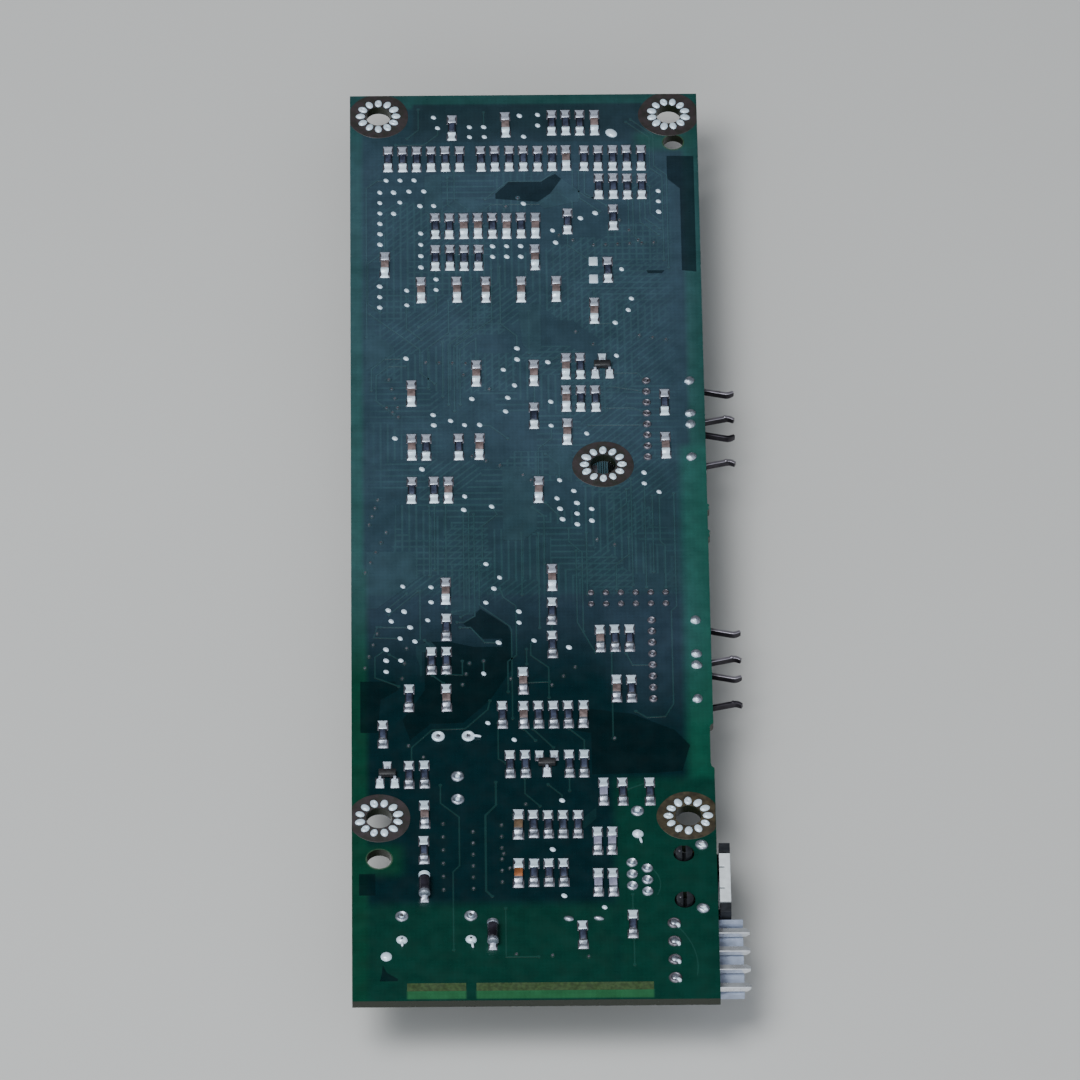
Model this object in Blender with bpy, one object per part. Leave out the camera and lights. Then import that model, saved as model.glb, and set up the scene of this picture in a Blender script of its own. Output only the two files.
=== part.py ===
"""Control board of a residual current device, lying solder side up.

The board stands on its tallest component-side parts. +X runs to the connector
edge, +Y to the far short edge, +Z up out of the solder side. The origin is
under the middle of the whole object, on the surface that it stands on.
"""

import math

import bmesh
import bpy
from mathutils import Matrix, Vector

MM = 0.001

# Board
BOARD_WIDTH = 61.0 * MM
BOARD_LENGTH = 208.0 * MM
BOARD_THICK = 1.6 * MM
STAND_OFF = 12.0 * MM
REACH = 5.2 * MM
GAP = 0.3 * MM
GRID = 2.54 * MM

UNDERSIDE = STAND_OFF
TOPSIDE = STAND_OFF + BOARD_THICK
SEAT = UNDERSIDE - GAP
TAIL_TOP = TOPSIDE + 0.6 * MM

# Holes: (x, y) from the left and far edges, in millimetres
MOUNTING_HOLES = ((5.0, 5.0), (56.0, 5.0), (43.3, 88.2), (4.6, 168.0), (56.4, 168.0))
MOUNTING_RADIUS = 2.2 * MM
SEAT_RADIUS = 3.3 * MM
SEAT_PROUD = 0.05 * MM
TOOLING_HOLES = ((56.7, 11.8, 1.75), (4.6, 177.0, 2.1))
LEAD_RADIUS = 0.65 * MM
EDGE_NOTCH = (147.4, 157.4, 0.6)
TAB_REMAINS = ((97.4, 99.0, 0.35), (103.4, 105.2, 0.35))

# Modular jack
JACK_Y = 181.4
JACK_BACK = 45.2
JACK_FACE = 63.2
JACK_HALF_WIDTH = 6.5
JACK_FLANGE_HALF = 7.5
FLANGE_BACK = 61.35
FLANGE_TOP = 13.4
FRAME_HALF = 5.3
PLUG_HALF = 4.85
PLUG_FLOOR = 1.9
PLUG_CEILING = 8.5
LATCH_HALF = 3.1
LATCH_CEILING = 10.7
JACK_PIN_COLUMNS = (46.8, 49.34)
JACK_CLIP_HALF = 6.95
JACK_FRONT_LEG = 58.5
PEG_X = 55.5
PEG_HALF_SPAN = 5.08
PEG_RADIUS = 1.45
CONTACT_WIRE = 0.4

# Power header
POWER_Y = 197.45
POWER_PITCH = 3.96
POWER_TAIL_X = 53.6
POWER_PIN = 1.14
POWER_PIN_Z = 11.0
WAFER_BOTTOM = 9.0
WAFER_MARGINS = (2.2, 0.9)
SHELF_TOP = 10.2
SHELF_THICK = 1.2
KEY_WALL = 0.9
POWER_TIP = 66.2
WAFER_BACK = 56.5
WAFER_FRONT = 59.7
SHELF_FRONT = 65.1

# Dual-port sockets
SOCKET_FIRST_PIN = (68.8, 124.1)
PORT_STARTS = (0.0, 10.16)
PORT_SPAN = 7.62
SIGNAL_X = 51.0
SIGNAL_PIN = 0.5
BLOCK_BACK = 46.8
BLOCK_FRONT = 57.2
PORT_MARGIN = 0.8
BLOCK_MARGIN = 2.0
PORT_FLOOR = 3.2
PORT_CEILING = 10.6
SIGNAL_Z = 9.6

# Grip leaves
LEAF_X = 58.5
LEAF_TIP = 66.05
LEAF_THICK = 0.6
LEAF_LOW = 10.3
LEAF_HIGH = 11.5
LEAF_LEG_HALF = 0.45
LEAF_CLOSE_IN = 1.15
LEAF_FLARE = 0.55

# Pin header and leaded parts
HEADER_PINS = (6, 2)
HEADER_CENTRE = (47.15, 119.05)
HEADER_BODY = 2.5
HEADER_PIN = 0.64
RADIAL_PARTS = (((17.15, 149.9), (1, 0)), ((17.8, 161.4), (0, 1)))
RADIAL_RADIUS = 5.0
LEAD_HALF_PITCH = 2.54
FILM_CENTRE = (47.9, 169.4)
CHOKE_CENTRE = (14.05, 192.2)
CHOKE_HALF_PINS = (5.75, 2.6)
LEAD_WIRE = 0.6

COLOURS = {
    "board_mask": ((0.012, 0.060, 0.052, 1), 0.35, 0.0),
    "black_plastic": ((0.015, 0.016, 0.018, 1), 0.5, 0.0),
    "white_plastic": ((0.62, 0.64, 0.66, 1), 0.45, 0.0),
    "nylon": ((0.50, 0.58, 0.68, 1), 0.4, 0.0),
    "tinned_metal": ((0.72, 0.73, 0.75, 1), 0.3, 1.0),
    "spring_steel": ((0.42, 0.42, 0.44, 1), 0.4, 1.0),
    "can_sleeve": ((0.02, 0.03, 0.07, 1), 0.4, 0.0),
    "film_case": ((0.45, 0.30, 0.06, 1), 0.4, 0.0),
    "aluminium_can": ((0.75, 0.76, 0.78, 1), 0.35, 1.0),
    "chip_epoxy": ((0.02, 0.02, 0.022, 1), 0.6, 0.0),
    "ferrite": ((0.05, 0.05, 0.055, 1), 0.7, 0.0),
}


def clear_scene():
    for old in list(bpy.data.objects):
        bpy.data.objects.remove(old, do_unlink=True)


def make_materials():
    made = {}
    for name, (colour, roughness, metallic) in COLOURS.items():
        mat = bpy.data.materials.new(name)
        mat.use_nodes = True
        shader = mat.node_tree.nodes["Principled BSDF"]
        shader.inputs["Base Color"].default_value = colour
        shader.inputs["Roughness"].default_value = roughness
        shader.inputs["Metallic"].default_value = metallic
        made[name] = mat
    return made


def world_x(x_mm):
    """Distance from the board's left edge, in millimetres, as a world X."""
    return x_mm * MM - (BOARD_WIDTH + REACH) / 2


def world_y(y_mm):
    """Distance from the board's far edge, in millimetres, as a world Y."""
    return BOARD_LENGTH / 2 - y_mm * MM


def place(x_mm, y_mm, z_mm):
    return Vector((world_x(x_mm), world_y(y_mm), z_mm * MM))


def add_object(name, bm, mat, smooth_angle=None):
    """Close a bmesh into a named object with one material."""
    bmesh.ops.recalc_face_normals(bm, faces=bm.faces)
    mesh = bpy.data.meshes.new(name)
    bm.to_mesh(mesh)
    bm.free()
    obj = bpy.data.objects.new(name, mesh)
    bpy.context.scene.collection.objects.link(obj)
    obj.data.materials.append(mat)
    if smooth_angle is not None:
        mesh.shade_smooth()
        mesh.set_sharp_from_angle(angle=math.radians(smooth_angle))
    return obj


def box_bmesh(low, high):
    """A box between two corners given as board places in millimetres."""
    a = place(*low)
    b = place(*high)
    centre = (a + b) / 2
    size = Vector((abs(b.x - a.x), abs(b.y - a.y), abs(b.z - a.z)))
    bm = bmesh.new()
    matrix = Matrix.Translation(centre) @ Matrix.Diagonal((*size, 1.0))
    bmesh.ops.create_cube(bm, size=1.0, matrix=matrix)
    return bm


def add_box(name, low, high, mat):
    return add_object(name, box_bmesh(low, high), mat)


def round_bmesh(centre, radius, low_z, high_z, sides):
    """A cylinder standing on the board, sizes in millimetres."""
    bm = bmesh.new()
    middle = place(*centre, (low_z + high_z) / 2)
    bmesh.ops.create_cone(
        bm, cap_ends=True, cap_tris=False, segments=sides,
        radius1=radius * MM, radius2=radius * MM,
        depth=(high_z - low_z) * MM, matrix=Matrix.Translation(middle))
    return bm


def combine(target, bm, operation):
    """Cut or join a hidden helper shape into the target."""
    helper = add_object(target.name + "_tool", bm, target.data.materials[0])
    helper.hide_render = True
    helper.display_type = "WIRE"
    modifier = target.modifiers.new(operation.lower(), "BOOLEAN")
    modifier.operation = operation
    modifier.solver = "EXACT"
    modifier.object = helper
    return helper


def cut_box(target, low, high):
    return combine(target, box_bmesh(low, high), "DIFFERENCE")


def join_box(target, low, high):
    return combine(target, box_bmesh(low, high), "UNION")


def join_leads(target, leads, body_top):
    """Add square leads that start inside a body and pass up through the board."""
    half = LEAD_WIRE / 2
    for x, y in leads:
        join_box(target, (x - half, y - half, body_top - 0.8), (x + half, y + half, TAIL_TOP / MM))


def ring_of_points(x_mm, y_mm, radius, sides):
    turn = 2 * math.pi / sides
    centre = place(x_mm, y_mm, 0)
    return [(centre.x + radius * math.cos(turn * i), centre.y + radius * math.sin(turn * i))
            for i in range(sides)]


def board_outline():
    """The board's edge, with the notch and tab remains on its right side."""
    width = BOARD_WIDTH / MM
    length = BOARD_LENGTH / MM
    points = [(0, 0), (0, length), (width, length)]
    start, end, depth = EDGE_NOTCH
    points += [(width, end), (width - depth, end - 0.8), (width - depth, start + 0.8), (width, start)]
    for start, end, rise in reversed(TAB_REMAINS):
        points += [(width, end), (width + rise, end - 0.4), (width + rise, start + 0.4), (width, start)]
    points.append((width, 0))
    return [tuple(place(x, y, 0).xy) for x, y in points]


def lead_places():
    """Every plated lead hole: (x, y, radius)."""
    small = LEAD_RADIUS
    holes = [(x, y, small) for x, y in jack_pin_places()]
    holes += [(JACK_FRONT_LEG, JACK_Y + side * JACK_CLIP_HALF, 0.8 * MM) for side in (-1, 1)]
    holes += [(POWER_TAIL_X, y, 1.15 * MM) for y in power_rows()]
    for first in SOCKET_FIRST_PIN:
        holes += [(SIGNAL_X, first + i * 2.54, small) for i in range(8)]
        holes += [(LEAF_X, first + offset, 0.85 * MM) for offset in leaf_offsets()]
    columns, rows = HEADER_PINS
    for column in range(columns):
        for row in range(rows):
            x = HEADER_CENTRE[0] + (column - (columns - 1) / 2) * 2.54
            y = HEADER_CENTRE[1] + (row - (rows - 1) / 2) * 2.54
            holes.append((x, y, small))
    for centre, direction in RADIAL_PARTS:
        holes += [(x, y, small) for x, y in pair_places(centre, direction)]
    holes += [(x, y, small) for x, y in pair_places(FILM_CENTRE, (0, 1))]
    holes += [(x, y, small) for x, y in choke_places()]
    return holes


def jack_pin_places():
    """Six pins in two staggered columns."""
    return [(JACK_PIN_COLUMNS[i % 2], JACK_Y + (i - 2.5) * 1.27) for i in range(6)]


def power_rows():
    return [POWER_Y + (i - 1.5) * POWER_PITCH for i in range(4)]


def leaf_offsets():
    return [start + end for start in PORT_STARTS for end in (0.0, PORT_SPAN)]


def pair_places(centre, direction):
    x, y = centre
    dx = direction[0] * LEAD_HALF_PITCH
    dy = direction[1] * LEAD_HALF_PITCH
    return [(x - dx, y - dy), (x + dx, y + dy)]


def choke_places():
    x, y = CHOKE_CENTRE
    dx, dy = CHOKE_HALF_PINS
    return [(x + sx * dx, y + sy * dy) for sx in (-1, 1) for sy in (-1, 1)]


def make_board(mats):
    """One flat plate, filled between its edge and its holes, then thickened.

    Each mounting hole has a tinned ring under it, a little proud, where its spacer sits.
    """
    bm = bmesh.new()

    def closed_loop(points):
        corners = [bm.verts.new((x, y, UNDERSIDE)) for x, y in points]
        for i, corner in enumerate(corners):
            bm.edges.new((corner, corners[(i + 1) % len(corners)]))
        return corners

    closed_loop(board_outline())
    seats = [closed_loop(ring_of_points(x, y, SEAT_RADIUS, 24)) for x, y in MOUNTING_HOLES]
    for x, y, radius in TOOLING_HOLES:
        closed_loop(ring_of_points(x, y, radius * MM, 20))
    for side in (-1, 1):
        closed_loop(ring_of_points(PEG_X, JACK_Y + side * PEG_HALF_SPAN, (PEG_RADIUS + 0.3) * MM, 16))
    for x, y, radius in lead_places():
        closed_loop(ring_of_points(x, y, radius, 8))
    bmesh.ops.triangle_fill(bm, edges=bm.edges, use_beauty=True, use_dissolve=False)
    for (x, y), seat in zip(MOUNTING_HOLES, seats):
        wall = [bm.verts.new((px, py, UNDERSIDE)) for px, py in ring_of_points(x, y, MOUNTING_RADIUS, 24)]
        for i in range(24):
            j = (i + 1) % 24
            bm.faces.new((seat[i], seat[j], wall[j], wall[i]))
    bmesh.ops.recalc_face_normals(bm, faces=bm.faces)
    grown = bmesh.ops.extrude_face_region(bm, geom=bm.faces)
    raised = [item for item in grown["geom"] if isinstance(item, bmesh.types.BMVert)]
    bmesh.ops.translate(bm, verts=raised, vec=(0, 0, BOARD_THICK))

    def on_seat(face):
        middle = face.calc_center_median()
        near = any((middle - place(x, y, 0)).xy.length < SEAT_RADIUS for x, y in MOUNTING_HOLES)
        return near and all(abs(corner.co.z - UNDERSIDE) < 0.01 * MM for corner in face.verts)

    flush = [face for face in bm.faces if on_seat(face)]
    grown = bmesh.ops.extrude_face_region(bm, geom=flush)
    bmesh.ops.delete(bm, geom=flush, context="FACES")
    lowered = [item for item in grown["geom"] if isinstance(item, bmesh.types.BMVert)]
    bmesh.ops.translate(bm, verts=lowered, vec=(0, 0, -SEAT_PROUD))
    return add_object("circuit_board", bm, mats["board_mask"])


def bent_wire(name, path, y_mm, thick, mat):
    """Square wire bent in the X-Z plane along (x, z) points, with mitred corners."""
    points = [Vector(point) for point in path]
    left = []
    right = []
    for i, point in enumerate(points):
        before = (point - points[i - 1]).normalized() if i else None
        after = (points[i + 1] - point).normalized() if i + 1 < len(points) else None
        along_in = before or after
        along_out = after or before
        normal_in = Vector((-along_in.y, along_in.x))
        normal_out = Vector((-along_out.y, along_out.x))
        mitre = (normal_in + normal_out).normalized()
        reach = thick / 2 / max(mitre.dot(normal_in), 0.3)
        left.append(point + mitre * reach)
        right.append(point - mitre * reach)
    bm = bmesh.new()
    side = [bm.verts.new(place(x, y_mm - thick / 2, z)) for x, z in left + right[::-1]]
    count = len(points)
    faces = []
    for i in range(count - 1):
        quad = (side[i], side[i + 1], side[2 * count - 2 - i], side[2 * count - 1 - i])
        faces.append(bm.faces.new(quad))
    grown = bmesh.ops.extrude_face_region(bm, geom=faces)
    moved = [item for item in grown["geom"] if isinstance(item, bmesh.types.BMVert)]
    bmesh.ops.translate(bm, verts=moved, vec=(0, -thick * MM, 0))
    return add_object(name, bm, mat)


def make_jack(mats):
    """Housing, white front frame, two ground clips and six contacts."""
    centre = JACK_Y
    top = SEAT / MM
    black = mats["black_plastic"]
    housing = add_box("jack_housing", (JACK_BACK, centre - JACK_HALF_WIDTH, 0),
                      (JACK_FACE - 1.0, centre + JACK_HALF_WIDTH, top), black)
    join_box(housing, (FLANGE_BACK, centre - JACK_FLANGE_HALF, 0),
             (JACK_FACE, centre + JACK_FLANGE_HALF, FLANGE_TOP))
    for side in (-1, 1):
        y = centre + side * PEG_HALF_SPAN
        combine(housing, round_bmesh((PEG_X, y), PEG_RADIUS, top - 0.5, TOPSIDE / MM + 0.5, 16), "UNION")
        cut_box(housing, (PEG_X - 0.3, y - 2, top + 0.6), (PEG_X + 0.3, y + 2, TOPSIDE / MM + 2))
    cut_box(housing, (JACK_BACK + 0.8, centre - PLUG_HALF, PLUG_FLOOR),
            (JACK_FACE + 1, centre + PLUG_HALF, PLUG_CEILING))
    cut_box(housing, (52.0, centre - LATCH_HALF, PLUG_CEILING - 0.2),
            (JACK_FACE + 1, centre + LATCH_HALF, LATCH_CEILING))
    cut_box(housing, (JACK_BACK + 0.8, centre - 4.0, PLUG_CEILING - 0.2), (50.2, centre + 4.0, top + 1))
    cut_box(housing, (FLANGE_BACK - 0.4, centre - FRAME_HALF - 0.3, 0.9),
            (JACK_FACE + 1, centre + FRAME_HALF + 0.3, FLANGE_TOP + 1))

    frame = add_box("jack_front_frame", (FLANGE_BACK, centre - FRAME_HALF, 1.2),
                    (JACK_FACE, centre + FRAME_HALF, FLANGE_TOP), mats["white_plastic"])
    cut_box(frame, (FLANGE_BACK - 1, centre - PLUG_HALF + 0.2, PLUG_FLOOR),
            (JACK_FACE + 1, centre + PLUG_HALF - 0.2, PLUG_CEILING))
    cut_box(frame, (FLANGE_BACK - 1, centre - LATCH_HALF, PLUG_CEILING - 0.2),
            (JACK_FACE + 1, centre + LATCH_HALF, LATCH_CEILING))
    for side in (-1, 1):
        y = centre + side * 2.3
        cut_box(frame, (FLANGE_BACK - 1, y - 0.2, LATCH_CEILING + 0.8),
                (FLANGE_BACK + 0.85, y + 0.2, FLANGE_TOP + 1))

    for number, side in ((1, -1), (2, 1)):
        y = centre + side * JACK_CLIP_HALF
        clip = add_box(f"jack_ground_clip_{number}", (56.6, y - 0.15, 3.0), (60.4, y + 0.15, top),
                       mats["tinned_metal"])
        join_box(clip, (JACK_FRONT_LEG - 0.45, y - 0.15, top - 1),
                 (JACK_FRONT_LEG + 0.45, y + 0.15, TAIL_TOP / MM))

    for number, (x, y) in enumerate(jack_pin_places(), start=1):
        path = ((x, TAIL_TOP / MM), (x, 2.6), (57.4, 2.6), (51.6, 6.2))
        bent_wire(f"jack_contact_{number}", path, y, CONTACT_WIRE, mats["tinned_metal"])


def make_power_header(mats):
    """A nylon wafer with a shelf under its four right-angle pins and a key wall beside the first."""
    start = POWER_Y - 1.5 * POWER_PITCH - WAFER_MARGINS[0]
    end = POWER_Y + 1.5 * POWER_PITCH + WAFER_MARGINS[1]
    wafer = add_box("power_wafer", (WAFER_BACK, start, WAFER_BOTTOM), (WAFER_FRONT, end, SEAT / MM),
                    mats["nylon"])
    join_box(wafer, (WAFER_FRONT - 0.5, start, SHELF_TOP - SHELF_THICK), (SHELF_FRONT, end, SHELF_TOP))
    join_box(wafer, (WAFER_FRONT - 0.5, start, SHELF_TOP - 1.0), (SHELF_FRONT, start + KEY_WALL, SEAT / MM))
    reach = POWER_PIN / 2 + 0.3
    for number, y in enumerate(power_rows(), start=1):
        cut_box(wafer, (WAFER_BACK - 1, y - reach, POWER_PIN_Z - reach),
                (WAFER_FRONT + 1, y + reach, POWER_PIN_Z + reach))
        path = ((POWER_TAIL_X, TAIL_TOP / MM), (POWER_TAIL_X, POWER_PIN_Z), (POWER_TIP, POWER_PIN_Z))
        bent_wire(f"power_pin_{number}", path, y, POWER_PIN, mats["tinned_metal"])


def make_port_block(name, first, mats):
    """A block with two plug ports, open to the right and to the pins above."""
    block = add_box(name, (BLOCK_BACK, first - BLOCK_MARGIN, 0),
                    (BLOCK_FRONT, first + PORT_STARTS[1] + PORT_SPAN + BLOCK_MARGIN, SEAT / MM),
                    mats["black_plastic"])
    for start in PORT_STARTS:
        low = first + start - PORT_MARGIN
        high = first + start + PORT_SPAN + PORT_MARGIN
        cut_box(block, (BLOCK_BACK + 1.2, low, PORT_FLOOR), (BLOCK_FRONT + 1, high, PORT_CEILING))
        cut_box(block, (SIGNAL_X - 0.8, low, PORT_CEILING - 0.2), (SIGNAL_X + 0.8, high, SEAT / MM + 1))
    return block


def make_signal_pins(mats):
    number = 1
    for first in SOCKET_FIRST_PIN:
        for i in range(8):
            path = ((SIGNAL_X, TAIL_TOP / MM), (SIGNAL_X, SIGNAL_Z), (55.6, SIGNAL_Z))
            bent_wire(f"signal_pin_{number}", path, first + i * 2.54, SIGNAL_PIN, mats["tinned_metal"])
            number += 1


def make_leaf(name, y_mm, inward, mats):
    """A sheet spring on its own solder leg, which is also its hinge line.

    inward is +1 or -1: the way the leaf leans in Y, towards its partner.
    """
    lean_start = 60.2
    lean_end = 65.1
    stations = (
        (LEAF_X - LEAF_LEG_HALF, 0.0),
        (LEAF_X + LEAF_LEG_HALF, 0.0),
        (lean_start, 0.0),
        (lean_end, LEAF_CLOSE_IN),
        (LEAF_TIP, LEAF_CLOSE_IN - LEAF_FLARE),
    )
    bm = bmesh.new()
    low = []
    high = []
    for x, lean in stations:
        y = lean * inward
        low.append(bm.verts.new(Vector((x - LEAF_X, -y, LEAF_LOW)) * MM))
        high.append(bm.verts.new(Vector((x - LEAF_X, -y, LEAF_HIGH)) * MM))
    for i in range(len(stations) - 1):
        bm.faces.new((low[i], low[i + 1], high[i + 1], high[i]))
    leg = [bm.verts.new(Vector((side * LEAF_LEG_HALF * MM, 0, TAIL_TOP))) for side in (-1, 1)]
    bm.faces.new((high[0], high[1], leg[1], leg[0]))
    leaf = add_object(name, bm, mats["spring_steel"])
    leaf.location = place(LEAF_X, y_mm, 0)
    thicken = leaf.modifiers.new("sheet", "SOLIDIFY")
    thicken.thickness = LEAF_THICK * MM
    thicken.offset = 0
    return leaf


def make_leaves(mats):
    number = 1
    for first in SOCKET_FIRST_PIN:
        for i, offset in enumerate(leaf_offsets()):
            inward = 1 if i % 2 == 0 else -1
            make_leaf(f"grip_leaf_{number}", first + offset, inward, mats)
            number += 1


def make_pin_header(mats):
    """A strip body with two rows of pins drawn out of each cell."""
    columns, rows = HEADER_PINS
    size_x = columns * GRID
    size_y = rows * GRID
    bm = bmesh.new()
    matrix = Matrix.Translation(place(*HEADER_CENTRE, SEAT / MM)) @ Matrix.Diagonal((size_x, size_y, 1, 1))
    bmesh.ops.create_grid(bm, x_segments=columns, y_segments=rows, size=0.5, matrix=matrix)
    grown = bmesh.ops.extrude_face_region(bm, geom=bm.faces)
    moved = [item for item in grown["geom"] if isinstance(item, bmesh.types.BMVert)]
    bmesh.ops.translate(bm, verts=moved, vec=(0, 0, -HEADER_BODY * MM))
    bmesh.ops.recalc_face_normals(bm, faces=bm.faces)
    low_z = SEAT - HEADER_BODY * MM
    tops = [face for face in bm.faces if all(abs(v.co.z - SEAT) < 1e-6 for v in face.verts)]
    bottoms = [face for face in bm.faces if all(abs(v.co.z - low_z) < 1e-6 for v in face.verts)]
    inset = (GRID - HEADER_PIN * MM) / 2
    for cells, travel in ((tops, TAIL_TOP - SEAT), (bottoms, -(low_z - 3.2 * MM))):
        bmesh.ops.inset_individual(bm, faces=cells, thickness=inset, use_even_offset=True)
        drawn = bmesh.ops.extrude_discrete_faces(bm, faces=cells)["faces"]
        tips = {vert for face in drawn for vert in face.verts}
        bmesh.ops.translate(bm, verts=list(tips), vec=(0, 0, travel))
    return add_object("pin_header", bm, mats["black_plastic"])


def turned(name, centre, profile, mat, sides=24):
    """Turn (radius, z) points, outer side top to bottom, about a standing axis."""
    bm = bmesh.new()
    middle = place(*centre, 0)
    rings = []
    for radius, z in profile:
        ring = []
        for i in range(sides):
            angle = 2 * math.pi * i / sides
            offset = Vector((radius * math.cos(angle), radius * math.sin(angle), z)) * MM
            ring.append(bm.verts.new(middle + offset))
        rings.append(ring)
    for upper, lower in zip(rings, rings[1:]):
        for i in range(sides):
            j = (i + 1) % sides
            bm.faces.new((upper[i], upper[j], lower[j], lower[i]))
    bm.faces.new(rings[0])
    bm.faces.new(rings[-1][::-1])
    return add_object(name, bm, mat, smooth_angle=35)


def make_leaded_parts(mats):
    """Two radial capacitors, one film capacitor and a line choke."""
    r = RADIAL_RADIUS
    top = SEAT / MM
    profile = ((r - 1.2, top), (r - 0.2, top), (r, top - 0.3), (r, top - 1.6), (r - 0.5, top - 2.0),
               (r, top - 2.4), (r, 0.4), (r - 0.4, 0))
    for number, (centre, direction) in enumerate(RADIAL_PARTS, start=1):
        can = turned(f"radial_capacitor_{number}", centre, profile, mats["can_sleeve"])
        join_leads(can, pair_places(centre, direction), top)
    x, y = FILM_CENTRE
    film = add_box("film_capacitor", (x - 2.5, y - 3.7, top - 9.0), (x + 2.5, y + 3.7, top), mats["film_case"])
    join_leads(film, pair_places(FILM_CENTRE, (0, 1)), top)
    x, y = CHOKE_CENTRE
    choke = add_box("line_choke", (x - 8.0, y - 4.6, top - 9.4), (x + 8.0, y + 4.6, top), mats["ferrite"])
    join_leads(choke, choke_places(), top)


def stepped_chip(name, centre, body, foot_margin, depth, mat):
    """A chip body under a thin slab that stands for its rows of feet.

    body is the (x, y) size of the moulding; foot_margin is how far the feet
    reach past it in x and y; sizes are in millimetres.
    """
    x, y = centre
    half_x = body[0] / 2
    half_y = body[1] / 2
    top = SEAT / MM
    chip = add_box(name, (x - half_x, y - half_y, top - depth), (x + half_x, y + half_y, top - 0.1), mat)
    join_box(chip, (x - half_x - foot_margin[0], y - half_y - foot_margin[1], top - 0.4),
             (x + half_x + foot_margin[0], y + half_y + foot_margin[1], top))
    return chip


def make_chips(mats):
    """Surface-mounted parts of the component side."""
    epoxy = mats["chip_epoxy"]
    stepped_chip("controller_chip", (27.0, 98.0), (14.0, 20.0), (1.6, 1.6), 2.7, epoxy)
    stepped_chip("memory_chip", (24.0, 62.0), (7.6, 18.0), (1.6, 0.0), 2.5, epoxy)
    stepped_chip("driver_chip_1", (40.0, 30.0), (4.0, 10.0), (1.2, 0.0), 1.8, epoxy)
    stepped_chip("driver_chip_2", (33.0, 134.0), (7.6, 10.4), (1.6, 0.0), 2.5, epoxy)
    stepped_chip("regulator", (32.0, 158.0), (10.2, 9.0), (0.0, 2.4), 4.6, epoxy)
    stepped_chip("crystal", (10.5, 98.0), (4.7, 11.4), (0.0, 0.7), 4.2, mats["aluminium_can"])
    stepped_chip("power_inductor", (31.5, 189.0), (12.0, 12.0), (0.4, 0.0), 6.2, mats["ferrite"])


def make_can_capacitor(number, centre, radius, height, mats):
    """An aluminium can on a square base plate, soldered flat to the board."""
    top = SEAT / MM
    bottom = top - height
    profile = ((radius - 0.3, top - 1.0), (radius - 0.3, top - 2.2), (radius - 0.7, top - 2.8),
               (radius - 0.2, top - 3.4), (radius - 0.2, bottom + 0.4), (radius - 0.6, bottom))
    can = turned(f"can_capacitor_{number}", centre, profile, mats["aluminium_can"], sides=20)
    x, y = centre
    join_box(can, (x - radius, y - radius, top - 1.4), (x + radius, y + radius, top))
    return can


def main():
    clear_scene()
    mats = make_materials()
    make_board(mats)
    make_jack(mats)
    make_power_header(mats)
    make_port_block("port_block_upper", SOCKET_FIRST_PIN[0], mats)
    make_port_block("port_block_lower", SOCKET_FIRST_PIN[1], mats)
    make_signal_pins(mats)
    make_leaves(mats)
    make_pin_header(mats)
    make_leaded_parts(mats)
    make_chips(mats)
    make_can_capacitor(1, (11.0, 27.0), 5.1, SEAT / MM, mats)
    make_can_capacitor(2, (33.0, 174.0), 4.1, 10.2, mats)


main()
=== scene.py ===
"""Looks of a residual current device's control board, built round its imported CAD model.

Places on the board are (x, y) in millimetres from its left and far edges, as in
the CAD source. Heights are in millimetres above the surface the board stands on.
"""

import math
import random

import bmesh
import bpy
from mathutils import Matrix, Vector


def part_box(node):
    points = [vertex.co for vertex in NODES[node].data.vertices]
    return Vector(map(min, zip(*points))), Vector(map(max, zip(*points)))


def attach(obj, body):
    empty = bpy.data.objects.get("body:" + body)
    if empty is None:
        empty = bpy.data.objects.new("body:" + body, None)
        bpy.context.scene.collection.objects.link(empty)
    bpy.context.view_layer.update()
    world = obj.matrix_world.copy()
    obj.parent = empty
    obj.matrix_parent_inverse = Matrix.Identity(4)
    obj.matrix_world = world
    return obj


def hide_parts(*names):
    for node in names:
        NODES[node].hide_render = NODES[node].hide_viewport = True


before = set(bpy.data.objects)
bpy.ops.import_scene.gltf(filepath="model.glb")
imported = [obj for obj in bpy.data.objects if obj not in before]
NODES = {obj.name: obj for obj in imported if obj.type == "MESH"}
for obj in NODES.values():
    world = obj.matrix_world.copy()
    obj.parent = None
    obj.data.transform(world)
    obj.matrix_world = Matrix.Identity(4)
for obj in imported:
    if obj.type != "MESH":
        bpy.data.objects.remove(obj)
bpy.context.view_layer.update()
BOARD_LOW, BOARD_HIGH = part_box("circuit_board")

MM = 0.001
BOARD_WIDTH = 61.0
BOARD_LENGTH = 208.0
SEAT_PROUD = 0.05  # the seat rings stand out by this under the board
UNDER = BOARD_LOW.z / MM + SEAT_PROUD
TOP = BOARD_HIGH.z / MM
PITCH = 2.54
LEAD_PROUD = 0.34
TAIL_TOP = TOP + 0.25  # where the connectors' own leads end, inside their solder
FAR_HALF = 118.0  # chips farther than this take the painted-lit solder at their near ends, nearer ones at their far ends
BODIES_TOP = 11.7  # where the bodies of the component side begin
JACK_WIRE_Z, SIGNAL_Z, LEAF_Z, POWER_Z = 2.6, 9.6, 10.9, 11.0
CHIP_PITCH = 2.5
TRACK_WIDTH, WIDE_TRACK_WIDTH = 0.3, 0.42

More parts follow.
